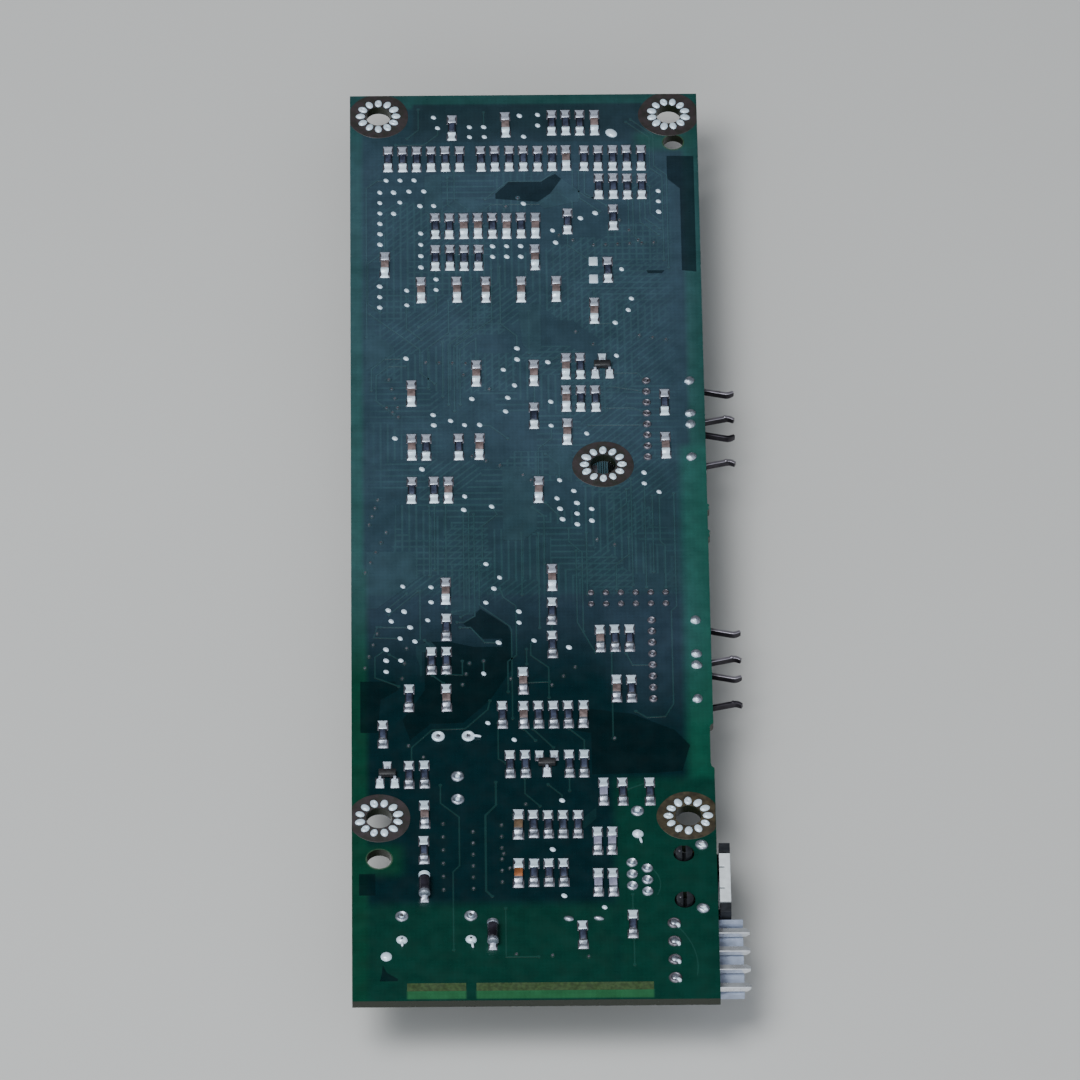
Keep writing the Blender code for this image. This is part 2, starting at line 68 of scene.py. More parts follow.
# Holes and connector places, as in the CAD source
MOUNTING_HOLES = ((5.0, 5.0), (56.0, 5.0), (43.3, 88.2), (4.6, 168.0), (56.4, 168.0))
MOUNTING_RADIUS = 2.2
TOOLING_HOLES = ((56.7, 11.8, 1.75), (4.6, 177.0, 2.1))
JACK_Y = 181.4
JACK_PINS = [((46.8, 49.34)[i % 2], JACK_Y + (i - 2.5) * PITCH / 2) for i in range(6)]
CLIP_JOINTS = [(58.5, JACK_Y + side * 6.95) for side in (-1, 1)]
PEGS = [(55.5, JACK_Y + side * 5.08) for side in (-1, 1)]
POWER_PINS = [(53.6, 197.45 + (i - 1.5) * 3.96) for i in range(4)]
SOCKET_FIRST = (68.8, 124.1)
SIGNAL_PINS = [(51.0, first + i * PITCH) for first in SOCKET_FIRST for i in range(8)]
LEAF_LEGS = [(58.5, first + step) for first in SOCKET_FIRST for step in (0.0, 7.62, 10.16, 17.78)]
HEADER_X = [47.15 + (i - 2.5) * PITCH for i in range(6)]
HEADER_Y = 119.05
HEADER_PINS = [(x, HEADER_Y + (j - 0.5) * PITCH) for x in HEADER_X for j in range(2)]
RADIAL_LEADS = [(14.61, 149.9), (19.69, 149.9), (17.8, 158.86), (17.8, 163.94)]
FILM_LEADS = [(47.9, 166.86), (47.9, 171.94)]
CHOKE_LEADS = [(14.05 + sx * 5.75, 192.2 + sy * 2.6) for sx in (-1, 1) for sy in (-1, 1)]

rng = random.Random(7)


def at(x, y, z=TOP):
    """A board place in millimetres as a point in the frame."""
    return Vector((BOARD_LOW.x + x * MM, BOARD_HIGH.y - y * MM, z * MM))


# ---------------------------------------------------------------- materials

def node_graph(name):
    mat = bpy.data.materials.new(name)
    mat.use_nodes = True
    return mat, mat.node_tree, mat.node_tree.nodes["Principled BSDF"]


def feed(tree, node, inputs):
    """Link or set a node's inputs, by name or number."""
    for key, value in inputs.items():
        if hasattr(value, "links"):
            tree.links.new(value, node.inputs[key])
        else:
            node.inputs[key].default_value = value


def add_node(tree, kind, inputs=None, **settings):
    made = tree.nodes.new(kind)
    for key, value in settings.items():
        setattr(made, key, value)
    feed(tree, made, inputs or {})
    return made


def place_of(tree):
    return add_node(tree, "ShaderNodeTexCoord").outputs["Object"]


def noise(tree, scale, detail=2.0, place=None):
    inputs = {"Vector": place or place_of(tree), "Scale": scale, "Detail": detail}
    return add_node(tree, "ShaderNodeTexNoise", inputs).outputs["Fac"]


def ramp(tree, value, low, high, to_low=0.0, to_high=1.0):
    """A smooth step from to_low where value is low to to_high where it is high."""
    inputs = {"Value": value, "From Min": low, "From Max": high, "To Min": to_low, "To Max": to_high}
    return add_node(tree, "ShaderNodeMapRange", inputs, interpolation_type="SMOOTHSTEP").outputs["Result"]


def uneven(tree, scale, detail, low=0.0, high=1.0, place=None):
    """Soft patches that run between two values."""
    return ramp(tree, noise(tree, scale, detail, place), 0.3, 0.7, low, high)


def maths(tree, operation, a, b=0.0):
    return add_node(tree, "ShaderNodeMath", {0: a, 1: b}, operation=operation).outputs[0]


def times(tree, *factors):
    product = factors[0]
    for factor in factors[1:]:
        product = maths(tree, "MULTIPLY", product, factor)
    return product


def scaled(tree, vector, factor):
    return add_node(tree, "ShaderNodeVectorMath", {0: vector, 3: factor}, operation="SCALE").outputs["Vector"]


def split_xyz(tree, vector):
    return add_node(tree, "ShaderNodeSeparateXYZ", {"Vector": vector}).outputs


def mix(tree, factor, a, b):
    a, b = ((*shade, 1.0) if isinstance(shade, tuple) else shade for shade in (a, b))
    return add_node(tree, "ShaderNodeMix", {0: factor, 6: a, 7: b}, data_type="RGBA").outputs[2]


def bumps(tree, height, strength, distance):
    inputs = {"Height": height, "Strength": strength, "Distance": distance}
    return add_node(tree, "ShaderNodeBump", inputs).outputs["Normal"]


SHEEN_SPREAD = 0.08
GRAIN_DEPTH = 0.00005


def surface(name, colour, roughness, metallic=0.0, vary=0.12, scale=900.0, grain=0.0, coat=0.0,
            transmit=0.0, dark=None):
    """A finish with uneven colour and sheen, and a fine grain in its normal."""
    mat, tree, shader = node_graph(name)
    deep = dark or tuple(c * (1 - 2 * vary) for c in colour)
    pale = tuple(min(1.0, c * (1 + vary)) for c in colour)
    feed(tree, shader, {
        "Base Color": mix(tree, uneven(tree, scale, 4.0), deep, pale),
        "Roughness": uneven(tree, scale * 0.37, 3.0, max(0.02, roughness - SHEEN_SPREAD), roughness + SHEEN_SPREAD),
        "Metallic": metallic, "Coat Weight": coat, "Coat Roughness": 0.12, "Transmission Weight": transmit})
    if grain:
        feed(tree, shader, {"Normal": bumps(tree, noise(tree, scale * 3.1, 3.0), grain, GRAIN_DEPTH)})
    return mat


def zone(tree, x, y, x_from, x_to, y_from, y_to, soft):
    """1 inside a rectangle of the board in millimetres, with soft edges."""
    return times(tree, ramp(tree, x, x_from - soft, x_from + soft), ramp(tree, x, x_to + soft, x_to - soft),
                 ramp(tree, y, y_from - soft, y_from + soft), ramp(tree, y, y_to + soft, y_to - soft))


RIM_FAR = (0.0030, 0.0420, 0.0300)
RIM_NEAR = (0.0030, 0.0500, 0.0300)
GAP_COLOUR = (0.0006, 0.0090, 0.0110)
# Painted reflection: a blue-grey colour added over the mask's far half, standing for the sky reflected in it
PAINTED_REFLECTION_COLOUR = (0.0280, 0.0360, 0.0565)
TRACK_COLOUR = (0.0300, 0.1050, 0.0900)
FINE_TRACKS = 0.20

# What lies under the mask: x from, x to, y from, y to, softness, colour
MASK_ZONES = (
    (2.1, 58.2, 3.2, 122.0, 0.6, (0.0020, 0.0210, 0.0220)),
    (2.1, 58.2, 118.0, 204.0, 0.6, (0.0016, 0.0150, 0.0190)),
    (11.0, 51.5, 2.2, 11.4, 0.4, (0.0008, 0.0150, 0.0140)),
    (56.6, 80.0, 84.0, 164.0, 1.2, (0.0030, 0.0640, 0.0400)),
    (-9.0, 44.5, 187.0, 230.0, 1.5, (0.0016, 0.0340, 0.0240)),
    (44.0, 80.0, 159.5, 230.0, 1.3, (0.0014, 0.0360, 0.0250)),
    (-9.0, 2.6, 112.0, 230.0, 0.8, (0.0020, 0.0420, 0.0240)),
    (-9.0, 8.4, 174.0, 180.6, 1.5, (0.0016, 0.0400, 0.0225)),
    (50.0, 60.0, 9.4, 13.6, 1.2, (0.0020, 0.0420, 0.0230)),
    (9.1, 18.9, 205.7, 207.6, 0.25, (0.0190, 0.1050, 0.0430)),
    (20.6, 50.0, 205.7, 207.6, 0.25, (0.0190, 0.1050, 0.0430)),
)


def fine_tracks(tree, place, x, y):
    """How much of the mask lies over dense patches of fine tracks, seen only as faint lines."""
    cells = add_node(tree, "ShaderNodeTexVoronoi", {"Vector": place, "Scale": 115.0}, distance="CHEBYCHEV")
    kinds = add_node(tree, "ShaderNodeSeparateColor", {"Color": cells.outputs["Color"]})
    lines = 0.0
    for channel, along, pitch in (("Red", x, 5.2), ("Green", y, 4.6), ("Blue", maths(tree, "ADD", x, y), 4.1)):
        wave = maths(tree, "SINE", times(tree, along, pitch))
        drawn = times(tree, ramp(tree, wave, 0.35, 0.95), ramp(tree, kinds.outputs[channel], 0.55, 0.62))
        lines = maths(tree, "MAXIMUM", lines, drawn)
    return times(tree, lines, zone(tree, x, y, 4.0, 55.0, 18.0, 118.0, 4.0))


def painted_reflection(tree, place, x, y):
    """How strong the painted blue-grey reflection is: it fades past the middle and towards the edges."""
    wander = times(tree, maths(tree, "SUBTRACT", noise(tree, 90.0, 3.0, place), 0.5), 3.0)
    later = times(tree, ramp(tree, x, 40.0, 50.0), 13.0)
    reflection_fade = ramp(tree, maths(tree, "SUBTRACT", maths(tree, "ADD", y, wander), later), 141.0, 113.0)
    return times(tree, reflection_fade, uneven(tree, 55.0, 3.0, 0.82, 1.12, place),
                 ramp(tree, y, 3.0, 22.0, 0.45, 1.0), ramp(tree, x, 61.5, 57.0, 0.55, 1.0),
                 ramp(tree, y, 8.0, 50.0, 1.16, 1.0),
                 ramp(tree, y, 82.0, 104.0, 1.0, ramp(tree, x, 8.0, 28.0, 0.88, 0.66)))


def mask_material(name, lift=0.0, depth=0.0):
    """Green solder mask over copper, with a painted blue-grey reflection over its far half.

    lift is how much lighter a copper track looks; depth is how much darker a gap looks.
    """
    mat, tree, shader = node_graph(name)
    place = place_of(tree)
    split = split_xyz(tree, place)
    x = times(tree, maths(tree, "SUBTRACT", split["X"], BOARD_LOW.x), 1000.0)
    y = times(tree, maths(tree, "SUBTRACT", BOARD_HIGH.y, split["Y"]), 1000.0)

    colour = mix(tree, ramp(tree, y, 2.0, 120.0), RIM_FAR, RIM_NEAR)
    for *box, shade in MASK_ZONES:
        colour = mix(tree, zone(tree, x, y, *box), colour, shade)
    if depth:
        colour = mix(tree, depth, colour, GAP_COLOUR)
    lines = times(tree, fine_tracks(tree, place, x, y), 0.0 if lift or depth else FINE_TRACKS)
    colour = mix(tree, lines, colour, TRACK_COLOUR)
    if lift:
        colour = mix(tree, lift, colour, TRACK_COLOUR)
    # Painted reflection over the far half, weaker over gaps in the copper
    reflection_veil = scaled(tree, PAINTED_REFLECTION_COLOUR, painted_reflection(tree, place, x, y))
    if depth:
        reflection_veil = scaled(tree, reflection_veil, 1.0 - 0.78 * depth)
    colour = add_node(tree, "ShaderNodeVectorMath", {0: colour, 1: reflection_veil}, operation="ADD").outputs["Vector"]

    # The weave of the laminate under it, and its bare edge
    cloth = maths(tree, "ADD", *[
        add_node(tree, "ShaderNodeTexWave", {"Vector": place, "Scale": 420.0, "Distortion": 1.2},
                 bands_direction=way).outputs["Fac"] for way in ("X", "Y")])
    mottle = ramp(tree, noise(tree, 380.0, 5.0, place), 0.2, 0.8, 0.84, 1.14)
    tint = scaled(tree, colour, times(tree, mottle, ramp(tree, cloth, 0.0, 2.0, 0.96, 1.04)))
    upright = split_xyz(tree, add_node(tree, "ShaderNodeNewGeometry").outputs["Normal"])["Z"]
    flat = ramp(tree, maths(tree, "ABSOLUTE", upright), 0.4, 0.7)
    # Painted shade: the bare edge and the hole walls are a dark olive, laminate colour deepened with painted shade
    edge = mix(tree, noise(tree, 2500.0, 4.0, place), (0.008, 0.013, 0.008), (0.018, 0.021, 0.012))
    height = maths(tree, "ADD", times(tree, cloth, 0.3), noise(tree, 900.0, 2.0, place))
    feed(tree, shader, {
        "Base Color": mix(tree, flat, edge, tint),
        "Roughness": uneven(tree, 300.0, 3.0, 0.24, 0.36, place),
        "Specular IOR Level": 0.35, "Coat Weight": 0.1, "Coat Roughness": 0.2,
        "Normal": bumps(tree, height, 0.10, 0.00003)})
    return mat


MASK = mask_material("mask_green")
TRACK = mask_material("mask_over_track", lift=0.22)
POUR = mask_material("mask_over_pour", lift=0.10)
GAP = mask_material("mask_over_gap", depth=0.85)
# Painted light: the lit solder is whiter and bluer than the metal, standing for its highlights; the shaded copy is
# darker, standing for solder turned from the light
LIT_SOLDER = surface("solder_painted_lit", (0.72, 0.87, 1.0), 0.30, metallic=0.22, vary=0.03, scale=2500.0, grain=0.06)
SHADED_SOLDER = surface("solder_painted_shade", (0.42, 0.46, 0.54), 0.34, metallic=0.8, vary=0.18, scale=2200.0, grain=0.15)
DULL = surface("solder_dull", (0.20, 0.19, 0.22), 0.45, metallic=0.8, vary=0.25, scale=1800.0, grain=0.3)
TERMINAL = surface("chip_terminal", (0.60, 0.65, 0.77), 0.30, metallic=0.4, vary=0.08, scale=3000.0, grain=0.1)
# Painted shade: the resistor body, sides included, is drawn near black for the shade on its sides
RESISTOR_SHADED_BODY = surface("resistor_body_painted_shade", (0.010, 0.011, 0.018), 0.45, vary=0.2, scale=1500.0)
GLAZE = surface("resistor_glaze", (0.046, 0.055, 0.092), 0.30, vary=0.25, coat=0.3)
CERAMIC = surface("capacitor_tan", (0.170, 0.124, 0.120), 0.40, vary=0.22, scale=1100.0, grain=0.1)
LILAC = surface("capacitor_lilac", (0.24, 0.24, 0.33), 0.40, scale=1100.0)
ORANGE = surface("capacitor_orange", (0.27, 0.095, 0.034), 0.40, vary=0.22)
UMBER = surface("capacitor_umber", (0.115, 0.075, 0.045), 0.40, vary=0.22)
GLASS = surface("diode_glass", (0.020, 0.018, 0.026), 0.18, vary=0.3, scale=700.0, coat=0.5)
EPOXY = surface("chip_epoxy_black", (0.018, 0.018, 0.020), 0.52, vary=0.15, scale=2200.0, grain=0.35)
LAMINATE = surface("bare_laminate_olive", (0.034, 0.066, 0.021), 0.55, vary=0.18, scale=1600.0, grain=0.4)
KEEP_OUT = surface("bare_ring", (0.030, 0.022, 0.024), 0.50, vary=0.25, grain=0.3,
                   dark=(0.022, 0.022, 0.018))
KEEP_OUT_OLIVE = surface("bare_ring_olive", (0.046, 0.036, 0.020), 0.50, vary=0.25, grain=0.3)
HOLE_RIM = surface("tooling_rim", (0.030, 0.075, 0.040), 0.5, vary=0.2, scale=2000.0)
SILK = surface("silk_white", (0.62, 0.64, 0.62), 0.6, vary=0.08, scale=2400.0)
BLACK = surface("moulded_black", (0.016, 0.018, 0.022), 0.42, vary=0.18, scale=1500.0, grain=0.25)
WHITE = surface("moulded_white", (0.66, 0.70, 0.72), 0.42, vary=0.05, grain=0.12)
NYLON = surface("moulded_nylon", (0.40, 0.46, 0.60), 0.35, vary=0.08, scale=700.0, grain=0.1, transmit=0.25)
TINNED = surface("tinned_pin", (0.80, 0.82, 0.86), 0.30, metallic=0.75, vary=0.05, grain=0.03)
SPRING = surface("spring_edge", (0.40, 0.37, 0.42), 0.34, metallic=0.8, vary=0.15, scale=500.0, grain=0.03)
# Painted shade: a dark copy of the spring metal for the leaves' shaded faces
SPRING_PAINTED_SHADE = surface("spring_painted_shade", (0.055, 0.050, 0.060), 0.38, metallic=0.8, vary=0.25, scale=400.0)
SLEEVE = surface("sleeve_blue", (0.012, 0.020, 0.060), 0.32, vary=0.15, scale=600.0, coat=0.3)
SLEEVE_MARK = surface("sleeve_stripe", (0.42, 0.46, 0.50), 0.4, vary=0.08)
ALUMINIUM = surface("drawn_aluminium", (0.80, 0.81, 0.82), 0.30, metallic=1.0, vary=0.06, scale=1800.0, grain=0.25)
FILM_CASE = surface("film_case_yellow", (0.46, 0.27, 0.035), 0.36, scale=800.0, coat=0.3)
FERRITE = surface("ferrite_grey", (0.045, 0.045, 0.050), 0.62, vary=0.2, scale=1500.0, grain=0.5)
COPPER_WIRE = surface("copper_winding", (0.55, 0.20, 0.08), 0.28, metallic=1.0, vary=0.15, scale=1200.0)


# ---------------------------------------------------------------- shapes

class Shape:
    """Gathers closed shapes into one mesh with a few materials."""

    def __init__(self, name, *materials):
        self.name = name
        self.materials = materials
        self.verts = []
        self.faces = []
        self.slots = []

    def add(self, shape, slot=0, flip=False):
        verts, faces = shape
        start = len(self.verts)
        self.verts += verts
        for face in faces:
            ring = tuple(start + i for i in face)
            self.faces.append(ring[::-1] if flip else ring)
        self.slots += [slot] * len(faces)

    def build(self, slot=None, body="board", stands_for=(), angle=38):
        mesh = bpy.data.meshes.new(self.name)
        mesh.from_pydata(self.verts, [], self.faces)
        mesh.polygons.foreach_set("material_index", self.slots)
        for material in self.materials:
            mesh.materials.append(material)
        mesh.update()
        return finish_piece(self.name, mesh, body, stands_for, angle)


def finish_piece(name, mesh, body="board", stands_for=(), angle=38):
    mesh.shade_smooth()
    mesh.set_sharp_from_angle(angle=math.radians(angle))
    obj = bpy.data.objects.new(name, mesh)
    bpy.context.scene.collection.objects.link(obj)
    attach(obj, body)
    if stands_for:
        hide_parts(*stands_for)
    return obj


def mesh_from(bm, name, material):
    """The edited mesh as a finished one, with one material."""
    mesh = bpy.data.meshes.new(name)
    bm.to_mesh(mesh)
    bm.free()
    mesh.materials.clear()
    mesh.materials.append(material)
    return mesh


def rings_to_faces(count, sides, closed=True):
    """Quads between rings of the same number of points."""
    faces = []
    for k in range(count - 1):
        for i in range(sides if closed else sides - 1):
            j = (i + 1) % sides
            faces.append((k * sides + i, k * sides + j, (k + 1) * sides + j, (k + 1) * sides + i))
    return faces


def capped(count, sides):
    """Quads between rings, and a face over each end."""
    last = (count - 1) * sides
    return rings_to_faces(count, sides) + [tuple(range(sides))[::-1], tuple(range(last, last + sides))]


def turned_over(faces):
    return [face[::-1] for face in faces]


def circle(x, y, radius, sides):
    return [(x + radius * math.cos(2 * math.pi * i / sides), y + radius * math.sin(2 * math.pi * i / sides))
            for i in range(sides)]


def turned(x, y, profile, sides=20, base=TOP, stretch=(1.0, 1.0), turn=0.0, shift=(0.0, 0.0)):
    """Turn (radius, height) points, outside to middle, about a line standing on the board.

    shift moves the last points sideways, as where solder sags.
    """
    verts = []
    c, s = math.cos(turn), math.sin(turn)
    count = len(profile)
    for k, (radius, height) in enumerate(profile):
        share = k / (count - 1)
        for a, b in circle(0.0, 0.0, radius, sides):
            u, v = a * stretch[0], b * stretch[1]
            verts.append(at(x + u * c - v * s + shift[0] * share, y + u * s + v * c + shift[1] * share,
                            base + height))
    faces = rings_to_faces(count, sides)
    faces.append(tuple((count - 1) * sides + i for i in range(sides)))
    return verts, turned_over(faces)


CAN_SIDES = 48


def hung(x, y, profile, sides=CAN_SIDES):
    """Turn (radius, z) points about a line through the board, outside down to the middle."""
    verts, faces = turned(x, y, profile, sides, base=0.0)
    return verts, turned_over(faces)


def disc_ring(x, y, inner, outer, height, base=TOP, wobble=0.0):
    """A flat ring on the board, cut off where it would pass the board's edge."""
    verts = []
    sides = 64
    margin = 0.06
    for radius, z in ((outer, 0.0), (outer - 0.05, height), (inner, height), (inner, 0.0)):
        for i in range(sides):
            angle = 2 * math.pi * i / sides
            reach = radius
            if radius > inner:
                reach += wobble * (math.sin(3 * angle + x) + 0.6 * math.sin(5 * angle + y))
            px = min(max(x + reach * math.cos(angle), margin), BOARD_WIDTH - margin)
            py = min(max(y + reach * math.sin(angle), margin), BOARD_LENGTH - margin)
            verts.append(at(px, py, base + z))
    return verts, turned_over(rings_to_faces(4, sides))


def octagon(x0, x1, y0, y1, cut, z):
    """A rectangle's outline with its corners cut off."""
    return [(x0 + cut, y0, z), (x1 - cut, y0, z), (x1, y0 + cut, z), (x1, y1 - cut, z),
            (x1 - cut, y1, z), (x0 + cut, y1, z), (x0, y1 - cut, z), (x0, y0 + cut, z)]


def block(low, high, chamfer=0.05, draft=0.0):
    """A box between two board places, with chamfered corners; draft narrows its low end."""
    a, b = at(*low), at(*high)
    lo, hi = Vector(map(min, a, b)), Vector(map(max, a, b))
    c = min(chamfer * MM, min(hi - lo) * 0.45)
    verts = []
    for z, inset, narrow in ((lo.z, c, draft), (lo.z + c, 0.0, draft), (hi.z - c, 0.0, 0.0), (hi.z, c, 0.0)):
        k = inset + narrow * MM
        verts += [Vector(p) for p in octagon(lo.x + k, hi.x - k, lo.y + k, hi.y - k, c, z)]
    return verts, capped(4, 8)


def rounded(path, radius, steps=5):
    """The same path with its corners rounded."""
    out = [path[0]]
    for before, corner, after in zip(path, path[1:], path[2:]):
        a, b = before - corner, after - corner
        cut = min(radius * MM, a.length * 0.48, b.length * 0.48)
        p, q = corner + a.normalized() * cut, corner + b.normalized() * cut
        for i in range(steps + 1):
            t = i / steps
            out.append(p * (1 - t) ** 2 + corner * 2 * t * (1 - t) + q * t ** 2)
    out.append(path[-1])
    return out


def bar(path, side, width, thick, tip=1.0, tail=1.0, chamfer=0.22):
    """A bar of square or flat section along a path; side is the way its width lies.

    tip and tail are how much of its section is left at its last and first points.
    """
    side = Vector(side).normalized()
    w, t = width / 2 * MM, thick / 2 * MM
    c = min(w, t) * chamfer * 2
    section = ((w - c, t), (-w + c, t), (-w, t - c), (-w, c - t), (c - w, -t), (w - c, -t), (w, c - t), (w, t - c))
    verts = []
    last = len(path) - 1
    for i, point in enumerate(path):
        along = (path[min(i + 1, last)] - path[max(i - 1, 0)]).normalized()
        across = along.cross(side).normalized()
        scale = tail if i == 0 else tip if i == last else 1.0
        verts += [point + (side * a + across * b) * scale for a, b in section]
    return verts, turned_over(capped(last + 1, 8))


def strip(points, width, height=0.035, base=TOP, up=1):
    """A flat mitred strip on the board: a copper track or a printed line."""
    flat = [Vector(p) for p in points]
    count = len(flat)
    end = count - 1
    left, right = [], []
    for i, point in enumerate(flat):
        before = (point - flat[i - 1]).normalized() if i else None
        after = (flat[i + 1] - point).normalized() if i < end else None
        first, last = before or after, after or before
        n1, n2 = Vector((-first.y, first.x)), Vector((-last.y, last.x))
        mitre = (n1 + n2).normalized()
        reach = width / 2 / max(mitre.dot(n1), 0.4)
        left.append(point + mitre * reach)
        right.append(point - mitre * reach)
    verts = []
    for z, inset in ((0.0, 0.0), (height, 0.02)):
        for row, other in ((left, right), (right, left)):
            for p, q in zip(row, other):
                inner = p + (q - p).normalized() * inset
                verts.append(at(inner.x, inner.y, base + up * z))
    faces = []
    left_low, right_low, left_high, right_high = (k * count for k in range(4))
    for i in range(end):
        for a, b in ((left_high, right_high), (left_low, left_high), (right_high, right_low)):
            faces.append((a + i, a + i + 1, b + i + 1, b + i))
    faces.append((left_low, left_high, right_high, right_low))
    faces.append((right_low + end, right_high + end, left_high + end, left_low + end))
    return verts, faces


def sheet(points, height=0.03):
    """A flat polygon on the board: a copper pour under the mask, or an opening in the mask."""
    count = len(points)
    verts = [at(x, y, z) for z in (TOP, TOP + height) for x, y in points]
    area = sum(a[0] * b[1] - b[0] * a[1] for a, b in zip(points, points[1:] + points[:1]))
    faces = [(i, (i + 1) % count, count + (i + 1) % count, count + i) for i in range(count)]
    faces.append(tuple(range(count, 2 * count)))
    return verts, turned_over(faces) if area > 0 else faces


def refined(node, material, bevel, segments=2):
    """The CAD node's own shape with its flat faces joined and its edges rounded."""
    bm = bmesh.new()
    bm.from_mesh(NODES[node].data)
    bmesh.ops.remove_doubles(bm, verts=bm.verts, dist=1e-6)
    bmesh.ops.dissolve_limit(bm, angle_limit=math.radians(1.0), verts=bm.verts, edges=bm.edges)
    name = node + "_moulded"
    obj = finish_piece(name, mesh_from(bm, name, material), stands_for=(node,), angle=35)
    rounding = obj.modifiers.new("rounding", "BEVEL")
    rounding.width = bevel * MM
    rounding.segments = segments
    rounding.limit_method = "ANGLE"
    rounding.angle_limit = math.radians(35)
    rounding.harden_normals = True


# ---------------------------------------------------------------- bare board

def build_board():
    """The plate with round holes, its edge notch and the stubs of its break-off tabs."""
    right = BOARD_WIDTH
    outline = [(0, 0), (0, BOARD_LENGTH), (right, BOARD_LENGTH), (right, 157.4), (right - 0.45, 157.0),
               (right - 0.6, 156.4), (right - 0.6, 148.4), (right - 0.45, 147.8), (right, 147.4)]
    for start, end in ((103.4, 105.2), (97.4, 99.0)):
        outline += [(right, end), (right + 0.3, end - 0.3), (right + 0.16, (start + end) / 2),
                    (right + 0.35, start + 0.35), (right, start)]
    outline.append((right, 0))
    loops = [outline]
    loops += [circle(x, y, MOUNTING_RADIUS, 64) for x, y in MOUNTING_HOLES]
    loops += [circle(x, y, radius, 56) for x, y, radius in TOOLING_HOLES]
    small = JACK_PINS + SIGNAL_PINS + HEADER_PINS + RADIAL_LEADS + FILM_LEADS + CHOKE_LEADS
    for places, radius, sides in ((PEGS, 1.75, 40), (small, 0.6, 12), (CLIP_JOINTS + LEAF_LEGS, 0.78, 12),
                                  (POWER_PINS, 1.1, 16)):
        loops += [circle(x, y, radius, sides) for x, y in places]
    bm = bmesh.new()
    for loop in loops:
        corners = [bm.verts.new(at(x, y, UNDER)) for x, y in loop]
        for i, corner in enumerate(corners):
            bm.edges.new((corner, corners[(i + 1) % len(corners)]))
    bmesh.ops.triangle_fill(bm, edges=bm.edges, use_beauty=True, use_dissolve=False)
    grown = bmesh.ops.extrude_face_region(bm, geom=bm.faces)
    raised = [item for item in grown["geom"] if isinstance(item, bmesh.types.BMVert)]
    bmesh.ops.translate(bm, verts=raised, vec=(0, 0, (TOP - UNDER) * MM))
    bmesh.ops.recalc_face_normals(bm, faces=bm.faces)
    finish_piece("board_plate", mesh_from(bm, "board_plate", MASK),
                 stands_for=("circuit_board",), angle=30)


RING_REACH = (3.12, 3.02, 3.25, 3.3, 3.3)
RING_INNER, RING_OUTER, SEAT_OUTER = MOUNTING_RADIUS + 0.02, 5.3, 3.3
STRIPS = ((9.1, 18.9), (20.6, 50.0))
STRIP_Y = (204.2, 205.9)
DOMES = 12


def build_rings():
    """Bare rings with a crown of solder-filled vias round each mounting hole."""
    rings = Shape("mounting_rings", KEEP_OUT, KEEP_OUT_OLIVE)
    seats = Shape("seat_rings", TERMINAL)
    domes = Shape("mounting_solder", LIT_SOLDER)
    for number, (x, y) in enumerate(MOUNTING_HOLES):
        rings.add(disc_ring(x, y, RING_INNER, RING_OUTER, 0.04, wobble=0.05), 1 if number == 4 else 0)
        for i in range(DOMES):
            angle = 2 * math.pi * (i + 0.5 * (number % 2)) / DOMES
            reach = RING_REACH[number] + rng.uniform(-0.05, 0.05)
            px, py = x + reach * math.cos(angle), y + reach * math.sin(angle)
            domes.add(solder_dome(px, py, 0.68 + rng.uniform(-0.05, 0.04), 0.32, rng.random() < 0.3, angle, 1.24))
        seats.add(disc_ring(x, y, RING_INNER, SEAT_OUTER, -SEAT_PROUD, base=UNDER), flip=True)
    rings.build("bare_laminate")
    seats.build("tinned_metal")
    domes.build("solder")
    rims = Shape("tooling_rims", HOLE_RIM)
    for x, y, radius in TOOLING_HOLES:
        rims.add(disc_ring(x, y, radius + 0.01, radius + 0.2, 0.02))
    rims.build("bare_laminate")
    bars = Shape("bare_strips", LAMINATE)
    far, near = STRIP_Y
    for left, right in STRIPS:
        bars.add(sheet([(left, far), (right, far), (right, near), (left, near)], 0.02))
    bars.build("bare_laminate")


# ---------------------------------------------------------------- solder

def solder_dome(x, y, radius, height, dimple=False, turn=0.7, stretch=1.2):
    """A low blob of solder drawn out one way, sometimes sunk over its via."""
    lean = (rng.uniform(-0.05, 0.05), rng.uniform(-0.05, 0.05))
    outline = [(1.0, 0.0), (0.96, 0.35), (0.80, 0.72), (0.55, 0.95)]
    if dimple:
        outline += [(0.42, 0.90), (0.22, 0.6), (0.02 / radius, 0.5)]
        lean = (0.12 * radius, 0.10 * radius)
    else:
        outline += [(0.3, 1.04), (0.02 / radius, 1.06)]
    profile = [(radius * r, height * h) for r, h in outline]
    return turned(x, y, profile, 18, stretch=(stretch, 0.92), turn=turn + rng.uniform(-0.15, 0.15), shift=lean)


def lead_joint(x, y, pad, wire, height, stretch):
    """Solder drawn up a lead in a hollow-sided cone, with the lead's rounded tip in it."""
    lean = (rng.uniform(-0.08, 0.08), rng.uniform(-0.08, 0.08))
    outline = [(pad, 0.0), (pad * 0.97, 0.10), (pad * 0.82, 0.24), (pad * 0.62, height * 0.62),
               (wire + 0.10, height * 0.86), (wire * 0.92, height * 0.97), (wire * 0.5, height), (0.02, height)]
    return turned(x, y, outline, 24, stretch=stretch, turn=rng.uniform(0, 3.1), shift=lean)


def sunken_joint(x, y, pad, wire):
    """A ring of solder sunk round its lead: two shapes, the ring and the lead's end."""
    lean = (rng.uniform(-0.05, 0.05), rng.uniform(-0.05, 0.05))
    ring = [(pad, 0.0), (pad * 0.97, 0.14), (pad * 0.86, 0.27), (pad * 0.74, 0.31), (pad * 0.62, 0.26),
            (wire + 0.06, 0.13), (wire, 0.10), (0.02, 0.10)]
    end = [(wire, 0.05), (wire * 0.96, LEAD_PROUD * 0.8), (wire * 0.8, LEAD_PROUD), (0.02, LEAD_PROUD + 0.03)]
    return turned(x, y, ring, 24, shift=lean), turned(x, y, end, 16)


